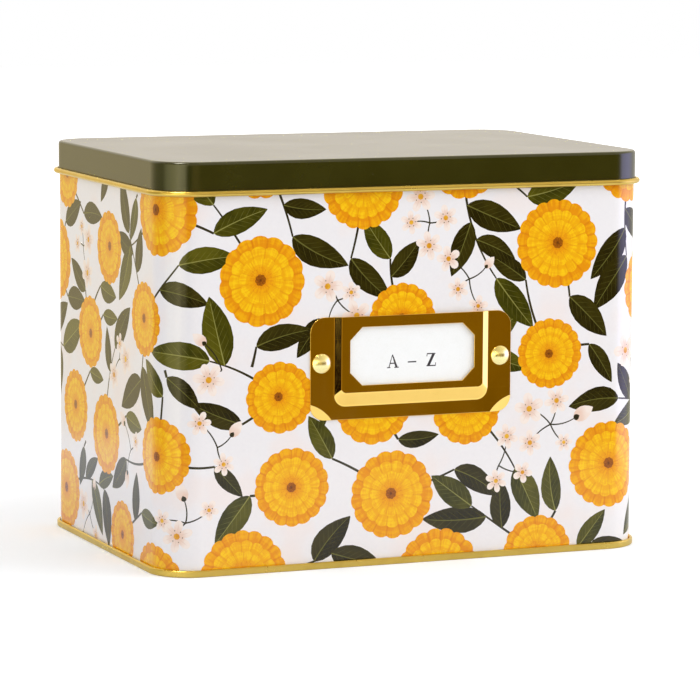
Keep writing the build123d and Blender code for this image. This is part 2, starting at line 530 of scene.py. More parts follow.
class Cover:
    """Squares of the sheet that are already printed, for finding free room."""

    def __init__(self, length: float, height: float, square: float) -> None:
        """Starts with nothing printed on a sheet of a length and height, in squares of a side."""
        self.square, self.shape = square, (int(length / square), int(height / square))
        self.printed = np.zeros(self.shape, bool)

    def squares(self, loop: Array) -> tuple[Array, Array]:
        """Finds the squares of the sheet whose middles a loop holds.

        Args:
            loop: The loop.

        Returns:
            Their columns and rows.
        """
        low = np.clip(np.floor(loop.min(0) / self.square).astype(int), 0, self.shape)
        high = np.clip(np.ceil(loop.max(0) / self.square).astype(int), 0, self.shape)
        column, row = np.mgrid[low[0] : high[0], low[1] : high[1]].reshape(2, -1)
        held = inside(loop, (np.stack([column, row], 1) + 0.5) * self.square)
        return column[held], row[held]

    def share(self, loop: Array) -> float:
        """Share of a loop's squares that are printed, 1 where it lies off the sheet."""
        found = self.squares(loop)
        return float(self.printed[found].mean()) if len(found[0]) else 1.0

    def mark(self, loop: Array) -> None:
        """Marks a loop's squares as printed."""
        self.printed[self.squares(loop)] = True

    def mark_disc(self, centre: Array, radius: float, corners: int = 40) -> None:
        """Marks a disc's squares as printed."""
        self.mark(centre + radius * polar(TURN * np.arange(corners) / corners))

    def crowding(self, reach: float) -> Array:
        """Share of printed squares in a box of a reach about each square, by running sums.

        Args:
            reach: Half of the box's side.

        Returns:
            The share at each square.
        """
        size = int(reach / self.square)
        total = np.pad(self.printed.astype(float), size + 1, constant_values=0.6).cumsum(0).cumsum(1)
        span = 2 * size + 1
        box = total[span:, span:] - total[:-span, span:] - total[span:, :-span] + total[:-span, :-span]
        return box[: self.shape[0], : self.shape[1]] / span**2


@dataclass
class Meadow:
    """Generic flower print: round golden heads on leafy stems, with pale florets between them.

    Attributes:
        length: Length of the sheet.
        height: Height of the sheet.
        seed: Start of the random draws.
    """

    length: float
    height: float
    seed: int = 11
    heads: int = 64
    head_radius: Point = (11.2, 15.2)
    head_gap: float = 2.0
    leaf_length: Point = (15.0, 25.0)
    leaf_width: Point = (0.38, 0.48)
    leaf_bend: float = 0.22
    olive_share: float = 0.4
    stem_width: float = 1.0
    stem_turn: float = 0.9
    stem_steps: int = 16
    stems_each: int = 3
    stem_apart: float = 1.25
    twig_length: Point = (10.0, 18.0)
    floret_share: float = 0.72
    square: float = 0.75

    def __post_init__(self) -> None:
        """Starts the random draws, the cover and the empty layers."""
        self.draw = np.random.default_rng(self.seed)
        self.cover = Cover(self.length, self.height, self.square)
        self.stems: list[Motif] = []
        self.leaves: list[Motif] = []
        self.florets: list[Motif] = []
        self.blooms: list[Motif] = []
        self.centres: list[tuple[Array, float]] = []

    def motifs(self) -> list[Motif]:
        """Grows the design.

        Returns:
            The motifs in paint order: stems, leaves, florets, and the heads on top.
        """
        self.place_heads()
        self.fill_with_florets(tries=20, reach=8.0, limit=0.4)
        for centre, radius in self.centres:
            self.grow_round_head(centre, radius)
        self.fill_with_twigs(tries=90)
        self.fill_with_florets(tries=150, reach=3.0, limit=0.5)
        return self.stems + self.leaves + self.florets + self.blooms

    def angle(self) -> float:
        """Draws any direction."""
        return self.draw.uniform(0, TURN)

    def paint(self, layer: list[Motif], shape: Array, ink: Ink, *place: Array | float | tuple) -> None:
        """Adds a shape in its own units to a layer, at a place: its origin, angle, size and form."""
        layer.append(Motif(placed(shape, *place[:3]), ink, *place))

    def place_heads(self) -> None:
        """Spreads the heads: each is the draw of many that lies furthest from those before it."""
        for _ in range(self.heads):
            radius = self.draw.uniform(*self.head_radius)
            tries = self.draw.uniform([-2.0, -4.0], [self.length + 2.0, self.height + 4.0], (400, 2))
            room = np.full(len(tries), 60.0)
            for centre, other in self.centres:
                room = np.minimum(room, np.linalg.norm(tries - centre, axis=1) - other - radius)
            best = int(room.argmax())
            if room[best] >= self.head_gap:
                self.centres.append((tries[best], radius))
                self.draw_head(tries[best], radius)

    def draw_head(self, centre: Array, radius: float) -> None:
        """Draws a head: nested lobed rings that get smaller and brighter, and a dark heart.

        Args:
            centre: Its middle.
            radius: Its radius.
        """
        lobes = self.draw.integers(15, 20)
        lean = radius * self.draw.uniform(-0.05, 0.05, 2)
        rings = [
            (1.0, 0.76, lobes, 0.055, Ink.AMBER),
            (0.76, 0.52, lobes - 2, 0.075, Ink.GOLD),
            (0.52, 0.3, lobes - 5, 0.1, Ink.GOLD),
            (0.3, 0.13, lobes - 8, 0.13, Ink.AMBER),
            (0.13, 0.0, 8, 0.12, Ink.HEART),
        ]
        for share, inner, count, depth, ink in rings:
            place = (centre + lean * (1 - share), self.angle(), radius * share)
            form = (float(count), inner / share, self.draw.uniform())
            self.paint(self.blooms, lobed_shape(count, depth), ink, *place, form)
        self.cover.mark_disc(centre, radius + 0.6, 60)

    def try_leaf(self, base: Array, angle: float, length: float, allowed: float) -> bool:
        """Draws a leaf where its place is free.

        Args:
            base: Foot of the leaf.
            angle: Its direction.
            length: Its length.
            allowed: Share of its place that may be printed already.

        Returns:
            Whether it was drawn.
        """
        width = self.draw.uniform(*self.leaf_width)
        bend = self.draw.uniform(-self.leaf_bend, self.leaf_bend)
        roomy = placed(leaf_shape(width * 1.12, bend) * 1.05, base, angle, length)
        middle = base + 0.5 * length * polar(angle)
        on_sheet = 0 < middle[0] < self.length and -3 < middle[1] < self.height + 3
        if not on_sheet or self.cover.share(roomy) > allowed:
            return False
        self.cover.mark(roomy)
        ink = Ink.OLIVE if self.draw.uniform() < self.olive_share else Ink.LEAF
        form = (bend, width, self.draw.uniform())
        self.paint(self.leaves, leaf_shape(width, bend), ink, base, angle, length, form)
        return True

    def grow_stem(self, start: Array, heading: float, hidden: float, length: float, allowed: float) -> None:
        """Grows a curved stem with leaves on alternate sides and one at its tip.

        Args:
            start: Foot of the stem.
            heading: Its first direction.
            hidden: Length at its foot that bears no leaf, as under a head.
            length: Its whole length.
            allowed: Share of each leaf's place that may be printed already.
        """
        turn = self.draw.uniform(-self.stem_turn, self.stem_turn)
        line, headings = curved_line(start, heading, length, turn, self.stem_steps)
        run = np.linspace(0, length, self.stem_steps + 1)
        side, last = self.draw.choice([-1.0, 1.0]), 0.0
        foot = hidden + self.draw.uniform(1.5, 4.0)
        while foot < length - 2.0:
            base = np.array([np.interp(foot, run, line[:, 0]), np.interp(foot, run, line[:, 1])])
            toward = np.interp(foot, run, headings) + side * self.draw.uniform(0.6, 1.0)
            if self.try_leaf(base, toward, self.draw.uniform(*self.leaf_length) * 0.92, allowed):
                last = foot
            side, foot = -side, foot + self.draw.uniform(4.5, 7.5)
        if self.try_leaf(line[-1], headings[-1], self.draw.uniform(*self.leaf_length), allowed):
            last = length
        if last > 0:
            self.draw_stem(line, run, last)

    def draw_stem(self, line: Array, run: Array, last: float) -> None:
        """Draws a stem as far as its last leaf, thinner towards its tip.

        Args:
            line: Its points.
            run: Length along it at each point.
            last: Length where it ends.
        """
        kept = np.unique(np.append(run[run < last], last))
        path = np.stack([np.interp(kept, run, line[:, 0]), np.interp(kept, run, line[:, 1])], 1)
        widths = self.stem_width * (1 - 0.5 * kept / run[-1])
        self.cover.mark(ribbon(path, widths + 1.2))
        form = (0.0, 0.0, self.draw.uniform())
        self.stems.append(Motif(ribbon(path, widths), Ink.TWIG, path[0], 0.0, 10.0, form))

    def grow_round_head(self, centre: Array, radius: float) -> None:
        """Grows two or three stems from under a head into the emptiest directions.

        Args:
            centre: Its middle.
            radius: Its radius.
        """
        headings = self.angle() + np.linspace(0, TURN, 14, endpoint=False)
        probes = [placed(leaf_shape(0.5, 0.0), centre, angle, radius + 30.0) for angle in headings]
        taken: list[float] = []
        for heading in headings[np.argsort([self.cover.share(probe) for probe in probes])]:
            apart = [abs(math.remainder(heading - other, TURN)) for other in taken]
            if min(apart, default=TURN) > self.stem_apart and len(taken) < self.stems_each:
                taken.append(heading)
                self.grow_stem(centre, heading, radius, radius + self.draw.uniform(15.0, 30.0), 0.3)

    def emptiest(self, reach: float, limit: float) -> Array | None:
        """Finds the emptiest box of the sheet.

        Args:
            reach: Half of the box's side.
            limit: Crowding past which there is none.

        Returns:
            Its middle, or None.
        """
        crowding = self.cover.crowding(reach) + self.draw.uniform(0, 0.02, self.cover.shape)
        found = np.unravel_index(crowding.argmin(), crowding.shape)
        return None if crowding[found] > limit else (np.array(found) + 0.5) * self.square

    def fill_with_twigs(self, tries: int) -> None:
        """Fills the larger gaps with short leafy twigs, as many as the tries at most."""
        for _ in range(tries):
            middle = self.emptiest(7.0, 0.44)
            if middle is None:
                return
            heading, length = self.angle(), self.draw.uniform(*self.twig_length)
            self.grow_stem(middle - 0.5 * length * polar(heading), heading, 0.0, length, 0.24)
            self.cover.mark_disc(middle, 3.0)

    def fill_with_florets(self, tries: int, reach: float, limit: float) -> None:
        """Fills gaps with clusters of pale florets and buds.

        Args:
            tries: Most clusters.
            reach: Half of a gap's side.
            limit: Crowding of the fullest gap.
        """
        for _ in range(tries):
            middle = self.emptiest(reach, limit)
            if middle is None:
                return
            self.draw_cluster(middle)

    def draw_cluster(self, middle: Array) -> None:
        """Draws a few fine twigs from a point, each with a floret or a bud at its end."""
        first, count = self.angle(), self.draw.integers(3, 6)
        for index in range(count):
            heading = first + TURN * (index + self.draw.uniform(-0.25, 0.25)) / count
            line, headings = curved_line(middle, heading, self.draw.uniform(5.0, 10.5), 0.6, 6)
            radius = self.draw.uniform(3.2, 5.6)
            if self.cover.share(line[-1] + radius * polar(TURN * np.arange(40) / 40)) > 0.12:
                continue
            form = (0.0, 0.0, self.draw.uniform())
            twig = ribbon(line, np.linspace(0.5, 0.36, len(line)))
            self.florets.append(Motif(twig, Ink.TWIG, middle, 0.0, 10.0, form))
            if self.draw.uniform() < self.floret_share:
                self.draw_floret(line[-1], radius)
            else:
                self.draw_bud(line[-1], headings[-1], radius)
            self.cover.mark_disc(line[-1], radius)
        self.cover.mark_disc(middle, 2.0)

    def draw_floret(self, centre: Array, radius: float) -> None:
        """Draws a floret: pale petals, a gold middle and dark specks round it.

        Args:
            centre: Its middle.
            radius: Its radius.
        """
        lobes, angle = self.draw.integers(5, 7), self.angle()
        form = (float(lobes), 0.0, self.draw.uniform())
        self.paint(self.florets, lobed_shape(lobes, 0.55, 0.75, 7), Ink.BLUSH, centre, angle, radius, form)
        dot = 0.2 * lobed_shape(7, 0.1, 1.0, 2)
        self.paint(self.florets, dot, Ink.DOT, centre, angle, radius, form)
        for around in angle + TURN * np.arange(lobes) / lobes:
            speck = centre + 0.36 * radius * polar(around)
            self.paint(self.florets, 0.2 * lobed_shape(5, 0.0, steps=1), Ink.TWIG, speck, 0.0, 1.0, form)

    def draw_bud(self, base: Array, angle: float, radius: float) -> None:
        """Draws a closed bud: a pale drop in a small dark cup.

        Args:
            base: Its foot.
            angle: Its direction.
            radius: Radius of its room.
        """
        form = (0.0, 0.6, self.draw.uniform())
        drop, cup = leaf_shape(0.62, 0.0, 9), 0.45 * leaf_shape(0.9, 0.0, 6)
        self.paint(self.florets, drop, Ink.BLUSH, base, angle, 1.5 * radius, form)
        self.paint(self.florets, cup, Ink.TWIG, base, angle, radius, form)


# ------------------------------------------------------------------ sheet-metal pieces


@dataclass(frozen=True)
class Sheet:
    """What the sheet-metal pieces share.

    Attributes:
        outline: Outline of the wall's outer face.
        thickness: Thickness of the tinplate.
        corner_steps: Divisions of each corner arc.
        fold_radius: Centreline radius of the hook and of the seam's top fold.
        fold_height: Height of that fold's centre.
        hook_height: Height where the wall's hook begins.
        flat_lap: Flat stretch at the rim of a plate.
        plate_shares: Scales of the rings that fill a flat plate.
    """

    outline: Outline
    thickness: float = 0.25
    corner_steps: int = 24
    fold_radius: float = 0.42
    fold_height: float = 1.755
    hook_height: float = 0.965
    flat_lap: float = 0.8
    plate_shares: tuple[float, ...] = (1.0, 0.85, 0.7, 0.5, 0.3, 0.1, 0.0)

    @classmethod
    def from_frame(cls, corner_radius: float = 12.7, seam_x: float = 2.75) -> "Sheet":
        """Takes the outline from the CAD wall's box, whose sides are its hook's outer face."""
        reach = node_box("body_wall")[1] - 2 * cls.fold_radius
        return cls(Outline(float(reach[0]), float(reach[1]), corner_radius, seam_x))

    def faces(
        self, fold: Fold, right: int, left: int, stations: Array, start_cap: bool = False, gap: int = 0
    ) -> list[Patch]:
        """Both faces of a folded sheet, and caps on its cut edges.

        Args:
            fold: Its centreline.
            right: Finish of the face to the right of the line.
            left: Finish of the face to its left and of the cut edges.
            stations: Where the section is repeated.
            start_cap: Whether the first edge is a cut edge.
            gap: Number of the place that ends a stretch that is left out, 0 for none.

        Returns:
            The patches.
        """
        sides = [np.hstack(fold.side(half)) for half in (self.thickness / 2, -self.thickness / 2)]
        parts = [slice(gap), slice(gap, None)] if gap else [slice(None)]
        lines = [(sides[0][part], right) for part in parts] + [(sides[1][part][::-1], left) for part in parts]
        ahead = polar(np.array(fold.headings))
        caps = [(sides[0][-1], sides[1][-1], ahead[-1]), (sides[1][0], sides[0][0], -ahead[0])]
        for first, second, facing in caps[: 1 + start_cap]:
            lines.append((np.array([[*first[:2], *facing], [*second[:2], *facing]]), left))
        return [self.outline.sweep(stations, line[:, :2], line[:, 2:], finish) for line, finish in lines]

    def plated(self, fold: Fold, right: int, left: int) -> list[Patch]:
        """A folded sheet with the flat plate inside its rim.

        Args:
            fold: Its centreline, which starts at the plate's edge and heads outwards.
            right: Finish of its lower face.
            left: Finish of its upper face.

        Returns:
            The patches.
        """
        stations, shares = self.outline.stations(self.corner_steps), np.array(self.plate_shares)[:, None]
        patches = self.faces(fold, right, left, stations)
        for half, finish in ((self.thickness / 2, right), (-self.thickness / 2, left)):
            reach, height = fold.side(half)[0][0]
            x, y, _ = self.outline.place(stations, reach)
            points = np.stack(np.broadcast_arrays(x * shares, y * shares, height), -1).reshape(-1, 3)
            down = np.tile([0.0, 0.0, -1.0], (len(points), 1))
            plate = Patch(points, grid_faces(len(shares), len(x)), down, finish)
            patches.append(plate if half > 0 else plate.flipped())
        return patches


def add_piece(name: str, mesh: bpy.types.Mesh, body: str, slot: str, *nodes: str) -> None:
    """Puts a mesh into the scene as a piece of the part.

    Args:
        name: Name of the piece.
        mesh: Its mesh, with its place in its points.
        body: The body that it rides on.
        slot: The record's material slot; not used.
        nodes: CAD nodes that it stands for.
    """
    piece = bpy.data.objects.new(name, mesh)
    bpy.context.scene.collection.objects.link(piece)
    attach(piece, body)
    if nodes:
        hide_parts(*nodes)
    log.info("%s: %d faces on %s", name, len(mesh.polygons), body)


def brad_holes(
    middle: float, base: float, bore: float = 3.2, spacing: float = 63.2, steps: int = 24
) -> list[Array]:
    """Outlines of the two brads' holes on a sheet.

    Args:
        middle: Place along the sheet between them.
        base: Height in the part of the sheet's own zero.
        bore: Their diameter.
        spacing: Length between them.
        steps: Corners of each outline.

    Returns:
        Both outlines.
    """
    height = np.mean(node_box("brad_cap_left"), 0)[2] - base
    ring = bore / 2 * polar(TURN * np.arange(steps) / steps)
    return [fine(ring + (middle + side, height)) for side in (-spacing / 2, spacing / 2)]


@dataclass
class BodyWall:
    """Printed wall: one sheet with its mouth rolled inwards and its foot hooked outwards."""

    sheet: Sheet
    mouth_roll: float = 1.6
    mouth_turn: float = 300.0
    mouth_steps: int = 24
    groove_half: float = 0.22
    groove_depth: float = 0.12
    print_margin: float = 0.35
    hook_steps: int = 8
    hole_reach: float = 1.6
    strip_height: float = 0.467
    strip_gap: float = 0.008
    strip_border: float = 0.002
    band_height: float = 0.01
    band_pitch: float = 0.012
    bands: int = 3
    spare_place: float = 0.999
    plain_finish: int = len(Ink)

    def __post_init__(self) -> None:
        """Works out the ends of the straight wall and where its sections and its holes are."""
        outline = self.sheet.outline
        self.low = fine(self.sheet.hook_height)
        self.high = fine(node_box("body_wall")[1][2] - self.mouth_roll / 2)
        seam = (self.groove_half, outline.length - self.groove_half)
        self.stations = outline.stations(self.sheet.corner_steps, seam)
        self.strip_start = float(outline.breaks()[1:3].mean())
        self.holes = brad_holes(outline.front_middle, 0.0)

    def fold(self) -> Fold:
        """Section of the sheet: up the hook, round, up the wall and round the mouth."""
        sheet = self.sheet
        reach = 2 * sheet.fold_radius - sheet.thickness / 2
        line = Fold(reach, sheet.fold_height, -90).run(sheet.fold_height - self.low)
        line.bend(sheet.fold_radius, -180, self.hook_steps).run(self.high - self.low)
        return line.bend((self.mouth_roll - sheet.thickness) / 2, self.mouth_turn, self.mouth_steps)

    def groove(self, flat: Array) -> Array:
        """Reach of the outer face at the lock seam: it falls evenly to the groove's bottom."""
        away = np.minimum(flat[:, 0], self.sheet.outline.length - flat[:, 0])
        on_edge = (flat[:, 1] == self.low) | (flat[:, 1] == self.high)
        return np.where(on_edge, 0.0, -self.groove_depth * np.clip(1 - away / self.groove_half, 0, 1))

    def band_chart(self, across: Array, up: Array, band: int) -> Array:
        """Place on the bake image of a plain face: one of a few narrow bands at its top.

        Args:
            across: Stations.
            up: Shares of the band's height.
            band: Number of the band.

        Returns:
            The places.
        """
        low = 2 * (self.strip_height + self.strip_gap) + band * self.band_pitch
        share = np.broadcast_arrays(across / self.sheet.outline.length, low + self.band_height * up)
        return np.stack(share, -1).reshape(-1, 2)

    def strip_chart(self, corners: Array) -> Array:
        """Place on the bake image of the wall: it is cut at two corners into strips, one over the other.

        Args:
            corners: Station and height of face corners, shape (F, 3, 2).

        Returns:
            Their places, shape (F, 3, 2).
        """
        length = self.sheet.outline.length
        middle = corners[..., 0].mean(1, keepdims=True)
        along = corners[..., 0] - self.strip_start + length * (middle < self.strip_start)
        second = (middle - self.strip_start) % length > length / 2
        across = (along - second * length / 2) / (length / 2)
        up = (corners[..., 1] - self.low) / (self.high - self.low)
        low = second * (self.strip_height + self.strip_gap) + self.strip_border
        across = self.strip_border + (1 - 2 * self.strip_border) * across
        return np.stack([across, low + self.strip_height * up], -1)

    def layout(self, holes: list[Array]) -> Layout:
        """The bare wall laid flat, with its holes and with lines where it bends."""
        stations, ends = self.stations, [self.low + 1, self.high - 1]
        x = np.concatenate([stations, 2 * [stations[-1]], stations[::-1], [0.0, 0.0]])
        y = np.concatenate([0 * stations + self.low, ends, 0 * stations + self.high, ends[::-1]])
        layout = Layout(np.stack([x, y], 1))
        for station in stations[1:-1]:
            layout.follow(np.array([(station, self.low), (station, self.high)]))
        for hole in holes:
            layout.cut(hole)
        return layout

    def hole_edges(self, flat: Array, triangles: Array) -> list[Array]:
        """Edges of the holes as a division has them: its points on each hole, in order of their angle."""
        used = flat[np.unique(triangles)]
        edges = []
        for hole in self.holes:
            spread = used - hole.mean(0)
            near = np.hypot(spread[:, 0], spread[:, 1]) < self.hole_reach + 2 * TOUCH
            turn = np.arctan2(spread[near, 1], spread[near, 0])
            edges.append(used[near][np.argsort(turn)])
        return edges

    def on_wall(self, flat: Array, reach: Array | float) -> tuple[Array, Array]:
        """Lays flat places onto the wall at a reach.

        Args:
            flat: Stations and heights.
            reach: Offset outwards.

        Returns:
            The points, and the angles of their outward normals.
        """
        x, y, angle = self.sheet.outline.place(flat[..., 0], reach)
        return np.stack([x, y, flat[..., 1]], -1), angle

    def printed_face(self, motifs: list[Motif]) -> tuple[Patch, list[Array]]:
        """The outer face, divided by the outlines of the print, with each motif's own places as marks.

        Args:
            motifs: The print in paint order.

        Returns:
            The patch, and the edges of the holes in it.
        """
        layout, length, margin = self.layout(self.holes), self.sheet.outline.length, self.print_margin
        limits = np.array([(margin, self.low + margin), (length - margin, self.high - margin)])
        bare, drawn = len(layout.loops), []
        for motif in motifs:
            loop = clipped(motif.outline, limits)
            if len(loop) > 2:
                layout.add(loop)
                drawn.append(motif)
        drawn.append(Motif(np.zeros((1, 2)), Ink.GROUND, np.zeros(2), 0.0, 1.0, (0.0, 0.0, 0.0)))
        flat, triangles, top = layout.divide()
        corners = flat[triangles]
        points, angle = self.on_wall(flat, self.groove(flat))
        middle = corners[..., 0].mean(1, keepdims=True)
        past = (middle > length - self.groove_half) * 1.0 - (middle < self.groove_half)
        facing = polar(angle[triangles] + past * math.atan(self.groove_depth / self.groove_half))
        patch = Patch(points, triangles, np.pad(facing, ((0, 0), (0, 0), (0, 1))))
        rows = [(*motif.origin, motif.angle, motif.size, motif.ink.value, *motif.form) for motif in drawn]
        own = np.array(rows, float)[np.maximum(top - bare, -1), None]
        spread = (corners - own[..., :2]) / own[..., 3:4]
        along, across = [(spread * polar(own[..., 2] + turn)).sum(-1) for turn in (0.0, QUARTER)]
        patch.finish = own[:, 0, 4].astype(int)
        patch.marks[PLACE_MARK] = np.stack([along, across, 0 * along], -1)
        patch.marks[FORM_MARK] = np.repeat(own[..., 5:], 3, 1)
        patch.chart = self.strip_chart(corners)
        return patch, self.hole_edges(flat, triangles)

    def plain_faces(self, holes: list[Array]) -> list[Patch]:
        """The lacquered faces: inside, hook, mouth, cut edges and the walls of the holes.

        Args:
            holes: Edges of the holes in the outer face.

        Returns:
            The patches.
        """
        flat, triangles, _ = self.layout(holes).divide()
        points, angle = self.on_wall(flat, -self.sheet.thickness)
        up = (flat[:, 1] - self.low) / (self.high - self.low)
        facing, chart = np.pad(polar(angle), ((0, 0), (0, 1))), self.band_chart(flat[:, 0], up, self.bands)
        patches = [Patch(points, triangles, facing, self.plain_finish, chart).flipped()]
        for hole in holes:
            ring = np.concatenate([hole, hole[:1]])
            depths = ((ring, 0.0), (fine(ring), -self.sheet.thickness))
            points = np.stack([self.on_wall(*depth)[0] for depth in depths], 1)
            inwards = (points[:-1, 0].mean(0) - points) * (1, 0, 1)
            chart = np.full((2 * len(ring), 2), self.spare_place)
            points, inwards = points.reshape(-1, 3), inwards.reshape(-1, 3)
            patches.append(Patch(points, grid_faces(len(ring), 2), inwards, self.plain_finish, chart))
        fold, finish = self.fold(), self.plain_finish
        gap = len(fold.places) - self.mouth_steps - 1
        for number, patch in enumerate(self.sheet.faces(fold, finish, finish, self.stations, True, gap)):
            up = np.linspace(0, 1, len(patch.points) // len(self.stations))
            patch.chart = self.band_chart(self.stations[:, None], up, number % self.bands)
            patches.append(patch)
        return patches

    def mesh(self, motifs: list[Motif], finishes: list[bpy.types.Material]) -> bpy.types.Mesh:
        """Welds the printed face to the plain ones."""
        printed, holes = self.printed_face(motifs)
        return Patchwork([printed, *self.plain_faces(holes)]).mesh("body_wall", finishes)


@dataclass
class LockSeam:
    """Folded layers of the wall's joint, inside its back: a low bar with rounded long edges."""

    sheet: Sheet
    width: float = 5.5
    height: float = 0.5
    low: float = 3.15
    high: float = 130.75
    edge: float = 0.2
    edge_steps: int = 6
    sunk: float = 0.02

    def mesh(self, lacquer: bpy.types.Material) -> bpy.types.Mesh:
        """Carries the bar's section up the wall and closes both ends."""
        outline, turn = self.sheet.outline, np.linspace(90, 0, self.edge_steps + 1)
        angle = np.radians([180, *(turn + 90), *turn, 0])
        count = len(angle)
        x = outline.seam_x + np.repeat([-1, 1], count // 2) * (self.width / 2 - self.edge)
        depth = self.height - self.edge * (1 - np.sin(angle))
        depth[[0, -1]] = -self.sunk
        y = outline.half_depth - self.sheet.thickness - depth
        level = np.array([[self.low], [self.high]])
        points = np.stack(np.broadcast_arrays(x + self.edge * np.cos(angle), y, level), -1).reshape(-1, 3)
        round_normals = np.tile(np.pad(polar(-angle), ((0, 0), (0, 1))), (2, 1))
        ring = np.arange(count)[None]
        faces = [
            (grid_faces(2, count)[:, ::-1], round_normals),
            (np.array([[0, count, 2 * count - 1, count - 1]]), (0.0, 1.0, 0.0)),
            (ring[:, ::-1], (0.0, 0.0, -1.0)),
            (ring + count, (0.0, 0.0, 1.0)),
        ]
        patches = [Patch(points, rows, np.broadcast_to(normals, points.shape)) for rows, normals in faces]
        return Patchwork(patches).mesh("lock_seam", [lacquer])


@dataclass
class BottomPanel:
    """Bottom: a countersunk plate whose rim folds round the wall's hook."""

    sheet: Sheet
    chuck: float = -0.425
    panel_bend: float = 0.8
    seam_bend: float = 0.45
    bend_steps: int = 8
    fold_steps: int = 12

    def mesh(self, lacquer: bpy.types.Material) -> bpy.types.Mesh:
        """Section: out along the plate, down the chuck wall, out, up the rim and down inside the hook."""
        sheet, foot = self.sheet, self.sheet.thickness / 2
        reach, _, level = node_box("bottom_panel")[1] - foot
        rim = reach - sheet.outline.half_width
        fold = Fold(self.chuck - self.panel_bend - sheet.flat_lap, level, 0).run(sheet.flat_lap)
        fold.bend(self.panel_bend, -90, self.bend_steps)
        fold.run(level - self.panel_bend - foot - self.seam_bend)
        for length in (rim - self.chuck - 2 * self.seam_bend, sheet.fold_height - foot - self.seam_bend):
            fold.bend(self.seam_bend, 90, self.bend_steps).run(length)
        fold.bend(sheet.fold_radius, 180, self.fold_steps).run(sheet.fold_height - sheet.hook_height)
        return Patchwork(sheet.plated(fold, 0, 0)).mesh("bottom_panel", [lacquer])


@dataclass
class Lid:
    """Lid: one sheet, enamelled outside and lacquered inside, with its edge rolled outwards."""

    sheet: Sheet
    edge_radius: float = 0.875
    edge_steps: int = 10
    roll_radius: float = 0.8
    roll_turn: float = 300.0
    roll_steps: int = 28
    slip: float = 0.12

    def mesh(self, enamel: bpy.types.Material, lacquer: bpy.types.Material) -> bpy.types.Mesh:
        """Section: out along the top, round the edge, down the skirt and round the roll."""
        sheet, half = self.sheet, self.sheet.thickness / 2
        low, high = node_box("lid")
        level, skirt = high[2] - half, self.slip + half
        fold = Fold(skirt - self.edge_radius - sheet.flat_lap, level, 0).run(sheet.flat_lap)
        fold.bend(self.edge_radius, -90, self.edge_steps)
        fold.run(level - self.edge_radius - (low[2] + self.roll_radius + half))
        fold.bend(self.roll_radius, self.roll_turn, self.roll_steps)
        return Patchwork(sheet.plated(fold, 1, 0)).mesh("lid", [enamel, lacquer])


# ------------------------------------------------------------------ label holder and card


def arc(x: float, y: float, radius: float, first: float, steps: int) -> Array:
    """A quarter circle as rows of a point and its outward normal, at evenly spaced angles.

    Args:
        x: First coordinate of its centre.
        y: Second coordinate of its centre.
        radius: Its radius.
        first: Its first angle in degrees.
        steps: Number of pieces.

    Returns:
        The rows, shape (steps + 1, 4).
    """
    facing = polar(np.radians(np.linspace(first, first + 90, steps + 1)))
    return np.hstack([(x, y) + radius * facing, facing])


def smooth_rise(share: Array, soft: float) -> Array:
    """Ramp from 0 to 1 with soft ends: the sum of a slope that grows, stays and dies away.

    Args:
        share: Places on the ramp, from 0 to 1.
        soft: Share of the ramp that each soft end takes.

    Returns:
        The rise at each place.
    """
    places = np.linspace(0, 1, 401)
    end = np.clip(np.minimum(places, 1 - places) / soft, 0, 1)
    slope = end * end * (3 - 2 * end)
    total = np.concatenate([[0.0], np.cumsum((slope[1:] + slope[:-1]) / 2)])
    return np.interp(share, places, total / total[-1])


@dataclass(frozen=True)
class FacePlane:
    """Plane of the tin's front. Its points are (x, height over the middle, depth out of the face)."""

    middle: float
    front: float

    def lay(self, flat: Array, depth: Array | float) -> Array:
        """Brings flat places and their depths into the part's frame."""
        depth = np.broadcast_to(depth, flat.shape[:-1])
        return np.stack([flat[..., 0], self.front - depth, self.middle + flat[..., 1]], -1)

    def turn(self, across: Array, outwards: Array | float) -> Array:
        """Brings directions in the plane and out of it into the part's frame."""
        outwards = np.broadcast_to(outwards, across.shape[:-1])
        return np.stack([across[..., 0], -outwards, across[..., 1]], -1)

    def rim(
        self,
        edge: Array,
        back: Array | float,
        front: Array | float,
        rounding: float,
        inset: Array | None = None,
    ) -> Patch:
        """Cut edge of a stamped sheet: a section with two small quarter rounds carried along it.

        Args:
            edge: Rows of a point of the nominal edge and its normal out of the material.
            back: Depth of the back, one or one for each row.
            front: Depth of the front.
            rounding: Radius of the rounds.
            inset: Directions of the inset where they differ from the normals, as at a sharp corner.

        Returns:
            The patch; it faces out of the material where the edge is counter-clockwise from outside.
        """
        turn = np.radians(np.linspace(0, 90, 5))
        out = np.concatenate([np.sin(turn), np.cos(turn)])
        lift = np.concatenate([-np.cos(turn), np.sin(turn)])
        levels = np.stack(np.broadcast_arrays(back, front, edge[:, 0])[:2], 1)
        depth = np.repeat(levels, 5, 1) + rounding * (lift + np.repeat([1.0, -1.0], 5))
        away = edge[:, 2:] if inset is None else inset
        flat = fine(edge[:, None, :2] - away[:, None] * (rounding * (1 - out))[:, None])
        facing = self.turn(edge[:, None, 2:] * out[:, None], lift)
        points = self.lay(flat, depth).reshape(-1, 3)
        return Patch(points, grid_faces(len(edge), len(out)), facing.reshape(-1, 3))


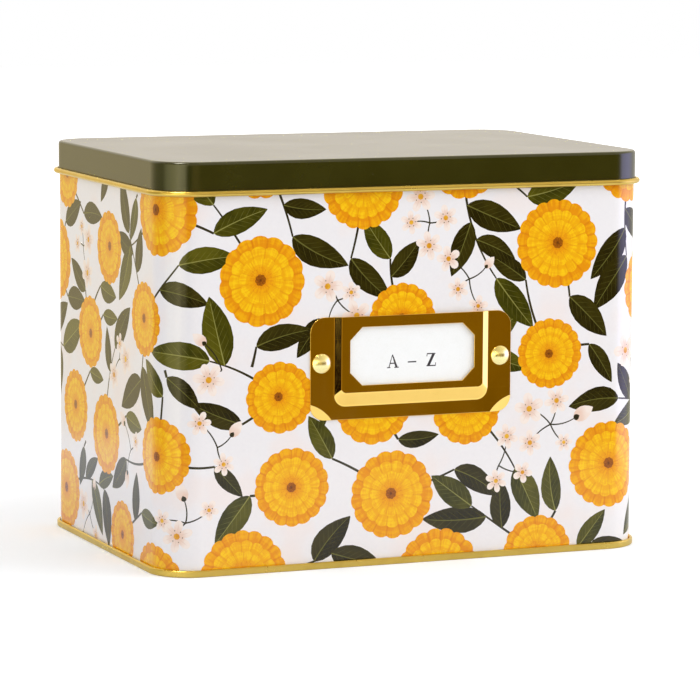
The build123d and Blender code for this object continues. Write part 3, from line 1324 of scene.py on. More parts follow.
@dataclass
class LabelHolder:
    """Stamped brass plate with a raised pocket, open at its top, and a window with cut corners."""

    plane: FacePlane
    half_width: float
    half_height: float
    corner: float = 5.0
    thickness: float = 0.45
    rounding: float = 0.11
    back_gap: float = 0.02
    rise: float = 1.0
    pocket_half: float = 24.7
    side_slope: float = 2.8
    floor: float = -7.75
    floor_slope: float = 4.9
    pocket_corner: float = 1.4
    foot_corner: float = 4.2
    window_half: Point = (21.95, 9.45)
    window_rise: float = 3.75
    window_cut: float = 4.2
    corner_steps: int = 12
    pocket_steps: int = 10
    slope_steps: int = 18
    slope_soft: float = 0.2
    press_up: float = 5.3
    press_along: float = 7.4
    press_sag: float = 0.75
    press_slope: float = 0.06
    press_lean: float = 0.135
    press_touch: float = 1e-3

    def __post_init__(self) -> None:
        """Works out the holes, and the outlines of the pocket's slope with the lift of each."""
        self.holes = brad_holes(0.0, self.plane.middle)
        shares = np.linspace(0, 1, self.slope_steps + 1)
        self.slope = np.stack([self.pocket_edge(share) for share in shares], 1)
        self.lifts = self.rise * smooth_rise(shares, self.slope_soft)

    @classmethod
    def from_frame(cls) -> "LabelHolder":
        """Takes the plate's size and place from the CAD node."""
        low, high = node_box("label_holder")
        half = (high - low) / 2
        return cls(FacePlane(float(low[2] + half[2]), float(high[1])), float(half[0]), float(half[2]))

    def pocket_edge(self, share: float) -> Array:
        """Outline of the pocket at a share of its slope, from its left end down, along and up.

        Args:
            share: 0 at the slope's foot and 1 at the raised face.

        Returns:
            Its points, as many at every share.
        """
        half = self.pocket_half + (1 - share) * self.side_slope
        floor = self.floor - (1 - share) * self.floor_slope
        radius = self.foot_corner + share * (self.pocket_corner - self.foot_corner)
        top = self.half_height - self.rounding
        left = arc(-half + radius, floor + radius, radius, 180, self.pocket_steps)[:, :2]
        right = arc(half - radius, floor + radius, radius, 270, self.pocket_steps)[:, :2]
        return fine(np.vstack([(-half, top), left, right, (half, top)]))

    def plate_edge(self) -> Array:
        """Edge of the plate beside and below the pocket, from its left end down, along and up.

        Returns:
            Rows of a point and its outward normal, with the ends of the pressed corners among them.
        """
        wide, high = self.half_width - self.corner, self.half_height - self.corner
        foot, side = self.pocket_half + self.side_slope, self.half_height - self.press_up
        along = self.half_width - self.press_along
        runs = [
            (-foot, self.half_height, 0, 1),
            arc(-wide, high, self.corner, 90, self.corner_steps),
            (-self.half_width, -side, -1, 0),
            arc(-wide, -high, self.corner, 180, self.corner_steps),
            [(-along, -self.half_height, 0, -1), (along, -self.half_height, 0, -1)],
            arc(wide, -high, self.corner, 270, self.corner_steps),
            (self.half_width, -side, 1, 0),
            arc(wide, high, self.corner, 0, self.corner_steps),
            (foot, self.half_height, 0, 1),
        ]
        return np.vstack(runs)

    def press(self, side: int) -> tuple[Array, float, Array]:
        """Circle of a pressed corner: through its two ends on the edge, bulging by the sag.

        Args:
            side: -1 for the left corner and 1 for the right one.

        Returns:
            The circle's centre and radius and the arc that bounds the press.
        """
        upper = np.array([self.rounding - self.half_width, self.press_up - self.half_height])
        lower = np.array([self.press_along - self.half_width, self.rounding - self.half_height])
        chord = lower - upper
        length = float(np.linalg.norm(chord))
        radius = (length**2 / 4 + self.press_sag**2) / (2 * self.press_sag)
        centre = (upper + lower) / 2 + chord[::-1] * (1, -1) / length * (radius - self.press_sag)
        ends = [math.atan2(*(point - centre)[::-1]) for point in (upper, lower)]
        bound = centre + radius * polar(np.linspace(*ends, self.corner_steps + 1))
        mirror = np.array([-side, 1.0])
        return centre * mirror, radius, fine(bound * mirror)

    def press_drop(self, flat: Array) -> tuple[Array, Array]:
        """How far the pressed corners fall back.

        Args:
            flat: Places on the plate.

        Returns:
            The drop at each, and the direction of the slope there.
        """
        drop, lean = np.zeros(flat.shape[:-1]), np.zeros(flat.shape)
        for side in (-1, 1):
            centre, radius, _ = self.press(side)
            away = np.linalg.norm(flat - centre, axis=-1)
            drop = np.maximum(drop, self.press_slope * np.clip(radius - away, 0, None))
            toward = -self.press_lean * (flat - centre) / away[..., None]
            lean = np.where(np.sign(flat[..., :1]) == side, toward, lean)
        return drop, lean

    def window(self) -> tuple[Array, Array, Array]:
        """The window: a rectangle with its corners cut off.

        Returns:
            Its corners, the normal towards its middle of the side after each, and the direction of
            the inset at each.
        """
        (wide, high), cut = self.window_half, self.window_cut
        quarter = np.array([(wide, high - cut), (wide - cut, high)])
        upper = np.vstack([quarter, quarter[::-1] * (-1, 1)])
        corners = np.vstack([upper, -upper]) + (0, self.window_rise)
        inward = unit(np.roll(corners, -1, 0) - corners)[:, ::-1] * (-1, 1)
        inset = inward + np.roll(inward, 1, 0)
        return corners, inward, inset / (inset * inward).sum(1, keepdims=True)

    def faces(self) -> list[Patch]:
        """Front and back of the plate beside the pocket and of the raised face round the window."""
        edge, (corners, _, inset) = self.plate_edge(), self.window()
        plate, raised = Layout(edge[:, :2] - self.rounding * edge[:, 2:]), Layout(self.pocket_edge(1))
        for loop in (self.pocket_edge(0), *self.holes):
            plate.cut(loop)
        for side in (-1, 1):
            plate.follow(self.press(side)[2])
        raised.cut(corners - self.rounding * inset)
        patches = []
        for layout, lift in ((plate, 0.0), (raised, self.rise)):
            flat, triangles, _ = layout.divide()
            corners = flat[triangles]
            pressed = self.press_drop(corners.mean(1, keepdims=True))[0] > self.press_touch
            lean = pressed[..., None] * self.press_drop(corners)[1]
            front = self.plane.lay(flat, self.thickness + lift - self.press_drop(flat)[0])
            back = self.plane.lay(flat, self.back_gap + lift)
            patches.append(Patch(front, triangles, self.plane.turn(lean, 1.0)))
            patches.append(Patch(back, triangles, self.plane.turn(0 * flat, 1.0)).flipped())
        return patches

    def slopes(self) -> list[Patch]:
        """Front and back of the pocket's slope: its rows run counter-clockwise, its columns inwards."""
        front, back = [self.plane.lay(self.slope, self.lifts + at) for at in (self.thickness, self.back_gap)]
        normals = unit(np.cross(np.gradient(front, axis=0), np.gradient(front, axis=1)))
        normals *= np.sign(-normals[..., 1:2])
        normals[:, [0, -1]] = (0.0, -1.0, 0.0)
        faces = grid_faces(*self.slope.shape[:2])
        sides = [Patch(side.reshape(-1, 3), faces, normals.reshape(-1, 3)) for side in (front, back)]
        return [sides[0], sides[1].flipped()]

    def outer_rim(self) -> Patch:
        """The cut edge round the plate and across the pocket's mouth."""
        x = np.concatenate([self.slope[-1, :, 0], -self.slope[-1, ::-1, 0]])[1:]
        mouth = np.stack(np.broadcast_arrays(x, self.half_height, 0.0, 1.0), 1)
        edge = np.vstack([self.plate_edge(), mouth])
        lift = np.zeros(len(edge))
        lift[-len(x) :] = np.concatenate([self.lifts, self.lifts[::-1]])[1:]
        drop, _ = self.press_drop(fine(edge[:, :2] - self.rounding * edge[:, 2:]))
        return self.plane.rim(edge, self.back_gap + lift, self.thickness + lift - drop, self.rounding)

    def openings(self) -> list[Patch]:
        """The cut edges of the window, side by side, and the walls of the brads' holes."""
        corners, inward, inset = self.window()
        patches = []
        for number, normal in enumerate(inward):
            ends = [number, (number + 1) % len(corners)]
            levels = (self.rise + self.back_gap, self.rise + self.thickness)
            side = np.hstack([corners[ends], [normal, normal]])
            rim = self.plane.rim(side, *levels, self.rounding, inset[ends])
            rim.faces = rim.faces[:, ::-1]
            patches.append(rim)
        for hole in self.holes:
            ring = np.repeat(np.concatenate([hole, hole[:1]])[:, None], 2, 1)
            points = self.plane.lay(ring, np.array([self.thickness, self.back_gap]))
            inwards = self.plane.turn(hole.mean(0) - ring, 0.0)
            patches.append(Patch(points.reshape(-1, 3), grid_faces(len(ring), 2), inwards.reshape(-1, 3)))
        return patches

    def mesh(self, brass: bpy.types.Material) -> bpy.types.Mesh:
        """Welds the faces, the slope and the cut edges."""
        patches = [*self.faces(), *self.slopes(), self.outer_rim(), *self.openings()]
        return Patchwork(patches).mesh("label_holder", [brass])


@dataclass
class LabelCard:
    """Card in the pocket, with a generic letter range printed on it."""

    plane: FacePlane
    foot_corner: float = 2.0
    top_corner: float = 0.4
    corner_steps: int = 8
    rounding: float = 0.05
    letter_height: float = 4.3
    letter_middle: float = 1.5

    def edge(self, low: Array, high: Array) -> Array:
        """The card's edge, counter-clockwise from its upper left corner.

        Args:
            low: Lowest corner of its box.
            high: Highest corner of its box.

        Returns:
            Rows of a point and its outward normal; the first is also the last.
        """
        wide, foot, top = high[0], low[2] - self.plane.middle, high[2] - self.plane.middle
        radius, tight = self.foot_corner, self.top_corner
        corners = [
            (tight - wide, top - tight, tight, 90),
            (radius - wide, foot + radius, radius, 180),
            (wide - radius, foot + radius, radius, 270),
            (wide - tight, top - tight, tight, 0),
        ]
        rows = np.vstack([arc(*corner, self.corner_steps) for corner in corners])
        return np.vstack([rows, rows[:1]])

    def letters(self) -> Array:
        """Strokes of the letters A and Z with a dash between them, shape (strokes, 4, 2)."""
        strokes = [
            [(0.1, 0), (0.185, 0), (0.46, 1.0), (0.41, 1.0)],
            [(0.7, 0), (0.9, 0), (0.47, 1.03), (0.4, 1.0)],
            [(0.24, 0.31), (0.66, 0.31), (0.64, 0.395), (0.25, 0.395)],
            [(0.0, 0), (0.27, 0), (0.27, 0.075), (0.0, 0.075)],
            [(0.6, 0), (0.97, 0), (0.97, 0.075), (0.6, 0.075)],
            [(1.7, 0.35), (2.4, 0.35), (2.4, 0.45), (1.7, 0.45)],
            [(3.25, 0), (3.49, 0), (3.98, 1.0), (3.74, 1.0)],
            [(3.25, 0), (4.0, 0), (4.0, 0.085), (3.25, 0.085)],
            [(3.28, 0.915), (3.98, 0.915), (3.98, 1.0), (3.28, 1.0)],
            [(3.94, 0), (4.0, 0), (4.04, 0.26), (3.98, 0.26)],
            [(3.28, 1.0), (3.24, 0.76), (3.3, 0.76), (3.34, 1.0)],
        ]
        return (np.array(strokes) - (2.02, 0.5)) * self.letter_height + (0.0, self.letter_middle)

    def mesh(self, paper: bpy.types.Material, ink: bpy.types.Material) -> bpy.types.Mesh:
        """Front with the letters as shapes of their own, back and edge."""
        plane, (low, high) = self.plane, node_box("label_card")
        edge, back, front = self.edge(low, high), plane.front - high[1], plane.front - low[1]
        layout = Layout(edge[:-1, :2] - self.rounding * edge[:-1, 2:])
        for stroke in self.letters():
            layout.add(stroke)
        flat, triangles, top = layout.divide()
        out = plane.turn(0 * flat, 1.0)
        patches = [
            Patch(plane.lay(flat, front), triangles, out, (top > 0).astype(int)),
            Patch(plane.lay(flat, back), triangles, out).flipped(),
            plane.rim(edge, back, front, self.rounding),
        ]
        return Patchwork(patches).mesh("label_card", [paper, ink])


# ------------------------------------------------------------------ brads


@dataclass
class BradCap:
    """Domed cap of a brad, with its rim turned in; its axis is the front's normal."""

    node: str
    turn_steps: int = 48
    dome_steps: int = 13
    rim_steps: int = 7
    rim: float = 0.3
    rim_round: float = 0.14
    thickness: float = 0.25
    lip: float = 1.3

    def dome(self, base: float, foot: float, crown: float) -> Array:
        """Arc of a dome from its crown to its foot: sphere radius (base^2 + rise^2) / (2 rise).

        Args:
            base: Radius of its foot.
            foot: Depth of its foot.
            crown: Depth of its crown.

        Returns:
            Rows of a radius, a depth and the outward normal.
        """
        rise = crown - foot
        sphere = (base**2 + rise**2) / (2 * rise)
        normals = polar(QUARTER - np.linspace(0, math.asin(base / sphere), self.dome_steps + 1))
        return np.hstack([sphere * normals + (0, crown - sphere), normals])

    def section(self, radius: float, height: float) -> Array:
        """Closed section of the cap, from its crown over the dome and back up its inside.

        Args:
            radius: Radius of the cap.
            height: Depth of its crown.

        Returns:
            Rows of a radius, a depth out of the plate and the outward normal.
        """
        inside, lip = radius - self.thickness, radius - self.lip
        outer = self.dome(radius - self.rim_round, self.rim + self.rim_round * 0.6, height)
        inner = self.dome(inside, self.rim, height - self.thickness)
        facing = polar(np.radians(np.linspace(55, -90, self.rim_steps + 1)))
        rim = np.hstack([(radius - self.rim_round, self.rim_round) + self.rim_round * facing, facing])
        under = [(lip, 0, 0, -1), (lip, self.thickness, 0, 1), (inside, self.thickness, 0, 1)]
        return np.vstack([outer, rim, under, inner[::-1] * (1, 1, -1, -1)])

    def mesh(self, brass: bpy.types.Material) -> bpy.types.Mesh:
        """Turns the section about the brad's axis: (x, z) go round, and y = back - depth."""
        low, high = node_box(self.node)
        rows = self.section((high[0] - low[0]) / 2, high[1] - low[1])
        angle = np.linspace(0, TURN, self.turn_steps + 1)[:, None]
        turned = []
        for out, depth in (rows[:, :2].T, rows[:, 2:].T):
            spread = np.broadcast_arrays(out * np.cos(angle), -depth, out * np.sin(angle))
            turned.append(np.stack(spread, -1).reshape(-1, 3))
        middle = ((low[0] + high[0]) / 2, high[1], (low[2] + high[2]) / 2)
        patch = Patch(turned[0] + middle, grid_faces(len(angle), len(rows))[:, ::-1], turned[1])
        return Patchwork([patch]).mesh(self.node, [brass])


# ------------------------------------------------------------------ finishes


class Term:
    """Output of a node that stands in plain sums; each sum adds a node.

    A sum with a vector in it goes channel by channel, and a vector times one number is scaled by it.
    """

    def __init__(self, wiring: "Wiring", socket: bpy.types.NodeSocket) -> None:
        """Takes the wiring that new nodes go to, and the output."""
        self.wiring, self.socket, self.single = wiring, socket, socket.type == "VALUE"

    def of(self, operation: str, *others: "Feed", clamp: bool = False) -> "Term":
        """Result of a Math node on this and others, or of Vector Math where one is a vector.

        Args:
            operation: The node's operation.
            others: Its other values.
            clamp: Whether the result is kept between 0 and 1.

        Returns:
            The result; a length or a dot product is one number.
        """
        feeds = dict(enumerate((self, *others)))
        if all(is_single(value) for value in feeds.values()):
            return self.wiring.out("Math", feeds, operation=operation, use_clamp=clamp)
        output = 1 if operation in ("LENGTH", "DOT_PRODUCT") else 0
        return self.wiring.out("VectorMath", feeds, output, operation=operation)

    def __add__(self, other: "Feed") -> "Term":
        """Sum."""
        return self.of("ADD", other)

    def __sub__(self, other: "Feed") -> "Term":
        """Difference."""
        return self.of("SUBTRACT", other)

    def __rsub__(self, other: float) -> "Term":
        """Difference from a number."""
        return self.of("MULTIPLY_ADD", -1.0, other)

    def __truediv__(self, other: "Feed") -> "Term":
        """Quotient."""
        return self.of("DIVIDE", other)

    def __mul__(self, other: "Feed") -> "Term":
        """Product, as Scale where one side is a vector and the other a number."""
        vector, number = (other, self) if self.single else (self, other)
        if is_single(vector) or not is_single(number):
            return self.of("MULTIPLY", other)
        return self.wiring.out("VectorMath", {0: vector, "Scale": number}, operation="SCALE")

    def step(self, low: float, high: float, first: "Feed" = 0.0, last: "Feed" = 1.0) -> "Term":
        """Soft step: first below low, last above high, and an even-ended curve between."""
        feeds = {"Value": self, "From Min": low, "From Max": high, "To Min": first, "To Max": last}
        return self.wiring.out("MapRange", feeds, interpolation_type="SMOOTHSTEP")

    def noise(self, scale: "Feed", detail: float = 2.0, roughness: float = 0.5) -> "Term":
        """Noise of this place, about 0.5 on average."""
        feeds = {"Vector": self, "Scale": scale, "Detail": detail, "Roughness": roughness}
        return self.wiring.out("TexNoise", feeds, "Fac")

    def between(self, first: "Feed", last: "Feed") -> "Term":
        """Colour between two colours, at this share of the way."""
        return self.wiring.out("Mix", {0: self, 6: first, 7: last}, 2, data_type="RGBA")

    def split(self) -> list["Term"]:
        """The three numbers of a vector."""
        return self.wiring.outs("SeparateXYZ", {0: self}, 0, 1, 2)


Feed = Term | float | tuple
Feeds = dict[int | str, Feed]


def is_single(value: Feed) -> bool:
    """Whether a value is one number, not a vector or colour."""
    return value.single if isinstance(value, Term) else isinstance(value, float)


class Wiring:
    """Adds nodes to the tree of a material, a world or a group, and joins them."""

    def __init__(self, tree: bpy.types.NodeTree) -> None:
        """Takes the tree."""
        self.tree = tree

    def feed(self, node: bpy.types.Node, feeds: Feeds) -> None:
        """Joins or sets inputs of a node, by name or number."""
        for key, value in feeds.items():
            if isinstance(value, Term):
                self.tree.links.new(value.socket, node.inputs[key])
            else:
                opaque = node.inputs[key].type == "RGBA"
                node.inputs[key].default_value = (*value, 1.0) if opaque else value

    def outs(self, kind: str, feeds: Feeds, *outputs: int | str, **settings: object) -> list[Term]:
        """Adds a node.

        Args:
            kind: Its type without the leading ShaderNode.
            feeds: What its inputs get.
            outputs: The outputs that are asked for, by name or number.
            settings: Its own settings.

        Returns:
            The outputs.
        """
        node = self.tree.nodes.new(kind if kind.startswith("Node") else f"ShaderNode{kind}")
        for name, value in settings.items():
            setattr(node, name, value)
        self.feed(node, feeds)
        return [Term(self, node.outputs[output]) for output in outputs]

    def out(self, kind: str, feeds: Feeds, output: int | str = 0, **settings: object) -> Term:
        """Adds a node and gives one output."""
        return self.outs(kind, feeds, output, **settings)[0]

    def effect(self, tree: bpy.types.NodeTree, feeds: Feeds) -> list[Term]:
        """Places a shared effect and gives its outputs."""
        return self.outs("Group", feeds, *range(len(tree.interface.items_tree) - len(feeds)), node_tree=tree)


class Effect(Wiring):
    """Node group that several finishes place, each with its own values."""

    def __init__(self, name: str, takes: dict[str, str], *gives: str) -> None:
        """Starts the group.

        Args:
            name: Its name.
            takes: Kind of each input, Vector or Float.
            gives: Its outputs, all single numbers.
        """
        super().__init__(bpy.data.node_groups.new(name, "ShaderNodeTree"))
        for socket, kind in takes.items():
            self.tree.interface.new_socket(socket, in_out="INPUT", socket_type=f"NodeSocket{kind}")
        for socket in gives:
            self.tree.interface.new_socket(socket, in_out="OUTPUT", socket_type="NodeSocketFloat")
        self.given = self.outs("NodeGroupInput", {}, *takes)

    def give(self, *results: Term) -> bpy.types.NodeTree:
        """Joins the results to the outputs in order and gives the group."""
        self.outs("NodeGroupOutput", dict(enumerate(results)))
        return self.tree


class SharedEffects:
    """Effects that several finishes use, each made once."""

    def __init__(self) -> None:
        """Makes the groups."""
        self.gouache = self.make_gouache()
        self.varnish = self.make_varnish()
        self.polish = self.make_polish()
        self.dust = self.make_dust()

    @staticmethod
    def make_gouache() -> bpy.types.NodeTree:
        """Uneven paint: broad pools plus dry streaks along x, as a shade of about 0.5."""
        takes = {"Place": "Vector", "Pool Scale": "Float", "Streak Scale": "Float"}
        effect = Effect("gouache_shade", takes, "Shade")
        place, pool_scale, streak_scale = effect.given
        pools = place.noise(pool_scale, 3.0, 0.55)
        streaks = (place * (0.22, 1.0, 1.0)).noise(streak_scale, 4.0, 0.7)
        return effect.give((pools * 0.65 + streaks * 0.35).step(0.34, 0.66))

    @staticmethod
    def make_varnish() -> bpy.types.NodeTree:
        """Clear varnish on tinplate: slightly uneven roughness, and fine waviness as a height."""
        takes = {"Place": "Vector", "Roughness": "Float", "Ripple": "Float"}
        effect = Effect("varnish_skin", takes, "Roughness", "Height")
        place, roughness, ripple = effect.given
        return effect.give((place.noise(30.0) - 0.5) * 0.07 + roughness, place.noise(420.0) * ripple)

    @staticmethod
    def make_polish() -> bpy.types.NodeTree:
        """Handled metal: hairline scratches in two directions and cloudy roughness."""
        takes = {"Place": "Vector", "Roughness": "Float"}
        effect = Effect("handled_metal", takes, "Roughness", "Height", "Cloud")
        place, roughness = effect.given
        ways = ((40.0, 40.0, 2600.0), (2400.0, 900.0, 60.0))
        across, along = ((place * way).noise(1.0, 1.0) for way in ways)
        scratches = across.step(0.66, 0.78).of("MAXIMUM", along.step(0.66, 0.78))
        cloud = place.noise(90.0, 4.0, 0.6)
        return effect.give(scratches * 0.05 + (cloud - 0.5) * 0.2 + roughness, scratches, cloud)

    @staticmethod
    def make_dust() -> bpy.types.NodeTree:
        """Sparse specks of dust: small discs in a share of the cells of a grid of scattered points."""
        effect = Effect("dust_specks", {"Place": "Vector", "Scale": "Float", "Share": "Float"}, "Mask")
        place, scale, share = effect.given
        away, colour = effect.outs("TexVoronoi", {"Vector": place, "Scale": scale}, "Distance", "Color")
        pick = effect.out("TexWhiteNoise", {"Vector": colour}, noise_dimensions="3D")
        return effect.give(away.step(0.05, 0.11, 1.0, 0.0) * pick.of("LESS_THAN", share))


class Surface(Wiring):
    """Material on a Principled shader."""

    def __init__(self, name: str, view_colour: Colour) -> None:
        """Starts the material, with a colour for Blender's own plain view."""
        self.material = bpy.data.materials.new(name)
        self.material.use_nodes = True
        self.material.diffuse_color = (*view_colour, 1.0)
        super().__init__(self.material.node_tree)
        self.place = self.out("TexCoord", {}, "Object")

    def motif(self) -> list[Term]:
        """The printed motif's own place, its x and y, and the three numbers of its form."""
        place = self.out("Attribute", {}, "Vector", attribute_name=PLACE_MARK)
        form = self.out("Attribute", {}, "Vector", attribute_name=FORM_MARK)
        return [place, *place.split()[:2], *form.split()]

    def finish(self, feeds: Feeds, height: Term, strength: float, distance: float) -> bpy.types.Material:
        """Feeds the shader.

        Args:
            feeds: What its inputs get.
            height: Height of the surface.
            strength: Strength of the bump, negative where the height goes inwards.
            distance: Height of 1 in metres.

        Returns:
            The material.
        """
        bump = {"Height": height, "Strength": abs(strength), "Distance": distance}
        normal = self.out("Bump", bump, invert=strength < 0)
        self.feed(self.tree.nodes["Principled BSDF"], {**feeds, "Normal": normal})
        return self.material


@dataclass(frozen=True)
class PrintInk:
    """One ink under the print's varnish: plain gouache, unless a kind of ink says otherwise.

    Attributes:
        name: Name of the material.
        deep: Its darker colour.
        bright: Its lighter colour.
        mark: Colour of its veins, lines or blotches.
    """

    name: str
    deep: Colour
    bright: Colour
    mark: Colour
    roughness: float = 0.17
    ior: float = 1.46
    ripple: float = 0.35

    def build(self, effects: SharedEffects) -> bpy.types.Material:
        """Makes the material from its colour and the varnish."""
        surface = Surface(self.name, self.bright)
        skin = {"Place": surface.place, "Roughness": self.roughness, "Ripple": self.ripple}
        rough, height = surface.effect(effects.varnish, skin)
        feeds = {"Base Color": self.colour(surface, effects), "Roughness": rough, "IOR": self.ior}
        return surface.finish(feeds, height, 1.0, 0.00002)

    def colour(self, surface: Surface, effects: SharedEffects) -> Term:
        """Gouache between the two colours."""
        feeds = {"Place": surface.place, "Pool Scale": 260.0, "Streak Scale": 900.0}
        return surface.effect(effects.gouache, feeds)[0].between(self.deep, self.bright)


class GroundInk(PrintInk):
    """White coat with faint, broad blotches and a fine paper-like grain."""

    def colour(self, surface: Surface, effects: SharedEffects) -> Term:
        """Blotches over the grain."""
        blotch = surface.place.noise(55.0, 2.0, 0.45).step(0.5, 0.68)
        base = surface.place.noise(900.0, 2.0, 0.6).between(self.deep, self.bright)
        return (blotch * 0.5).between(base, self.mark)


class PetalInk(PrintInk):
    """Ring of petals: radial streaks, a line between petals, a deeper inner rim and worn specks."""

    def colour(self, surface: Surface, effects: SharedEffects) -> Term:
        """Draws the ring by the motif's radius, and its petals by |sin(lobes angle / 2)|."""
        own, x, y, lobes, inner, seed = surface.motif()
        radius = own.of("LENGTH")
        drawn = surface.out("CombineXYZ", {0: seed, 1: seed * 3.7, 2: radius})
        streak = (drawn * (40.0, 17.0, 1.6) + own.of("NORMALIZE") * 9.0).noise(1.3, 4.0, 0.6)
        pools = (own + drawn * 9.0).noise(2.2)
        notch = (lobes * y.of("ARCTAN2", x) * 0.5).of("SINE").of("ABSOLUTE") / lobes
        line = (notch * radius).step(0.004, 0.016, 1.0, 0.0)
        under = ((radius - inner) / (1.0 - inner)).step(0.0, 0.42, 0.75, 0.0)
        shade = streak.step(0.36, 0.64) + pools.step(0.3, 0.7, -0.35, 0.35)
        base = shade.of("SUBTRACT", under, clamp=True).between(self.deep, self.bright)
        cell = surface.out("TexVoronoi", {"Vector": own + drawn * 5.0, "Scale": 13.0}, "Distance")
        worn = cell.step(0.07, 0.13, 0.6, 0.0) * pools.step(0.42, 0.56, 1.0, 0.0)
        return (line * 0.55).of("MAXIMUM", worn).between(base, self.mark)


class LeafInk(PrintInk):
    """Leaf: one half lighter on most, a pale midrib that dies away and fine side veins."""

    def colour(self, surface: Surface, effects: SharedEffects) -> Term:
        """Draws the leaf by the distance from its midrib, whose height is bend x^2."""
        _, x, y, bend, width, seed = surface.motif()
        across = y - bend * (x * x)
        away = across.of("ABSOLUTE")
        flat = surface.out("CombineXYZ", {0: x, 1: across, 2: seed * 30.0})
        paint = {"Place": flat, "Pool Scale": 3.4, "Streak Scale": 26.0}
        lit = across.step(-0.012, 0.02, 0.0, 0.5) * seed.of("GREATER_THAN", 0.35)
        shade = surface.effect(effects.gouache, paint)[0] * 0.55 + lit
        narrow = x * -0.008 + 0.0125
        midrib = (away / narrow).step(0.55, 1.1, 0.85, 0.0) * x.step(0.86, 0.97, 1.0, 0.0)
        wave = (x - away * 1.25 + seed * 0.1).of("PINGPONG", 0.06)
        vein = wave.step(0.0, 0.006, 0.5, 0.0) * (away / width).step(0.2, 0.42, 1.0, 0.0)
        return midrib.of("MAXIMUM", vein).between(shade.between(self.deep, self.bright), self.mark)


class FloretInk(PrintInk):
    """Pale petals: a warm middle, white tips and a soft fold between petals."""

    def colour(self, surface: Surface, effects: SharedEffects) -> Term:
        """Shades by the motif's radius, and folds by |cos(lobes angle / 2)|."""
        own, x, y, lobes, _, seed = surface.motif()
        radius = own.of("LENGTH")
        uneven = (own + seed * (7.0, 3.0, 5.0)).noise(3.5, 3.0) - 0.5
        base = radius.step(0.25, 0.8).of("ADD", uneven, clamp=True).between(self.deep, self.bright)
        fold = (lobes * y.of("ARCTAN2", x) * 0.5).of("COSINE").of("ABSOLUTE").step(0.0, 0.16, 0.5, 0.0)
        return (fold * radius.step(0.5, 0.9, 1.0, 0.0)).between(base, self.mark)


PRINT_INKS = {
    Ink.GROUND: GroundInk("print_ground", srgb(240, 236, 238), srgb(246, 242, 243), srgb(248, 232, 226)),
    Ink.AMBER: PetalInk("print_amber", srgb(236, 148, 0), srgb(248, 178, 0), srgb(220, 116, 0)),
    Ink.GOLD: PetalInk("print_gold", srgb(245, 172, 0), srgb(255, 204, 10), srgb(232, 142, 0)),
    Ink.HEART: PetalInk("print_heart", srgb(120, 62, 4), srgb(188, 102, 4), srgb(60, 34, 6)),
    Ink.LEAF: LeafInk("print_leaf", srgb(30, 25, 1), srgb(56, 50, 6), srgb(110, 108, 48)),
    Ink.OLIVE: LeafInk("print_olive", srgb(52, 52, 2), srgb(90, 86, 12), srgb(148, 144, 72)),
    Ink.TWIG: PrintInk("print_twig", srgb(38, 34, 20), srgb(62, 56, 32), srgb(30, 30, 20)),
    Ink.BLUSH: FloretInk("print_blush", srgb(240, 208, 190), srgb(251, 236, 226), srgb(222, 180, 160)),
    Ink.DOT: PrintInk("print_dot", srgb(214, 138, 20), srgb(240, 186, 62), srgb(200, 120, 10)),
}


@dataclass(frozen=True)
class OliveEnamel:
    """Stoved olive enamel of the lid's outside, with a few specks of dust in it."""

    colour: Colour = (0.0235, 0.0228, 0.0)
    worn: Colour = (0.03, 0.029, 0.0005)
    dust: Colour = (0.42, 0.4, 0.3)
    roughness: float = 0.19
    ior: float = 1.6

    def build(self, effects: SharedEffects) -> bpy.types.Material:
        """Makes the material."""
        surface = Surface("olive_enamel", self.colour)
        place = surface.place
        base = place.noise(60.0, 4.0, 0.6).step(0.35, 0.7).between(self.colour, self.worn)
        specks = surface.effect(effects.dust, {"Place": place, "Scale": 420.0, "Share": 0.035})[0]
        skin = {"Place": place, "Roughness": self.roughness, "Ripple": 0.5}
        rough, height = surface.effect(effects.varnish, skin)
        feeds = {"Base Color": (specks * 0.35).between(base, self.dust), "Roughness": specks * 0.3 + rough}
        return surface.finish({**feeds, "IOR": self.ior}, height + specks * 0.6, 1.0, 0.00003)


@dataclass(frozen=True)
class BrightMetal:
    """Brass or gold-lacquered tinplate.

    Attributes:
        name: Name of the material.
        colour: Its colour.
        tarnish: Its colour where it is dulled.
        roughness: Its mean roughness.
        dulled: How far the dulled colour is taken where it is strongest.
    """

    name: str
    colour: Colour
    tarnish: Colour
    roughness: float
    dulled: float = 0.3

    def build(self, effects: SharedEffects) -> bpy.types.Material:
        """Makes the material, with its scratches as fine grooves."""
        surface = Surface(self.name, self.colour)
        feeds = {"Place": surface.place, "Roughness": self.roughness}
        rough, scratches, cloud = surface.effect(effects.polish, feeds)
        specks = surface.effect(effects.dust, {"Place": surface.place, "Scale": 700.0, "Share": 0.06})[0]
        dull = cloud.step(0.45, 0.72, 0.0, self.dulled).of("MAXIMUM", specks * 0.5)
        feeds = {"Base Color": dull.between(self.colour, self.tarnish), "Metallic": 1.0, "Roughness": rough}
        return surface.finish(feeds, scratches, -0.12, 0.000004)


GOLD_LACQUER = BrightMetal("gold_lacquer", (0.66, 0.48, 0.11), (0.5, 0.34, 0.06), 0.3, 0.35)
HOLDER_BRASS = BrightMetal("holder_brass", (0.95, 0.64, 0.17), (0.86, 0.53, 0.1), 0.07)
BRAD_BRASS = BrightMetal("brad_brass", (0.98, 0.88, 0.42), (0.9, 0.76, 0.28), 0.25)


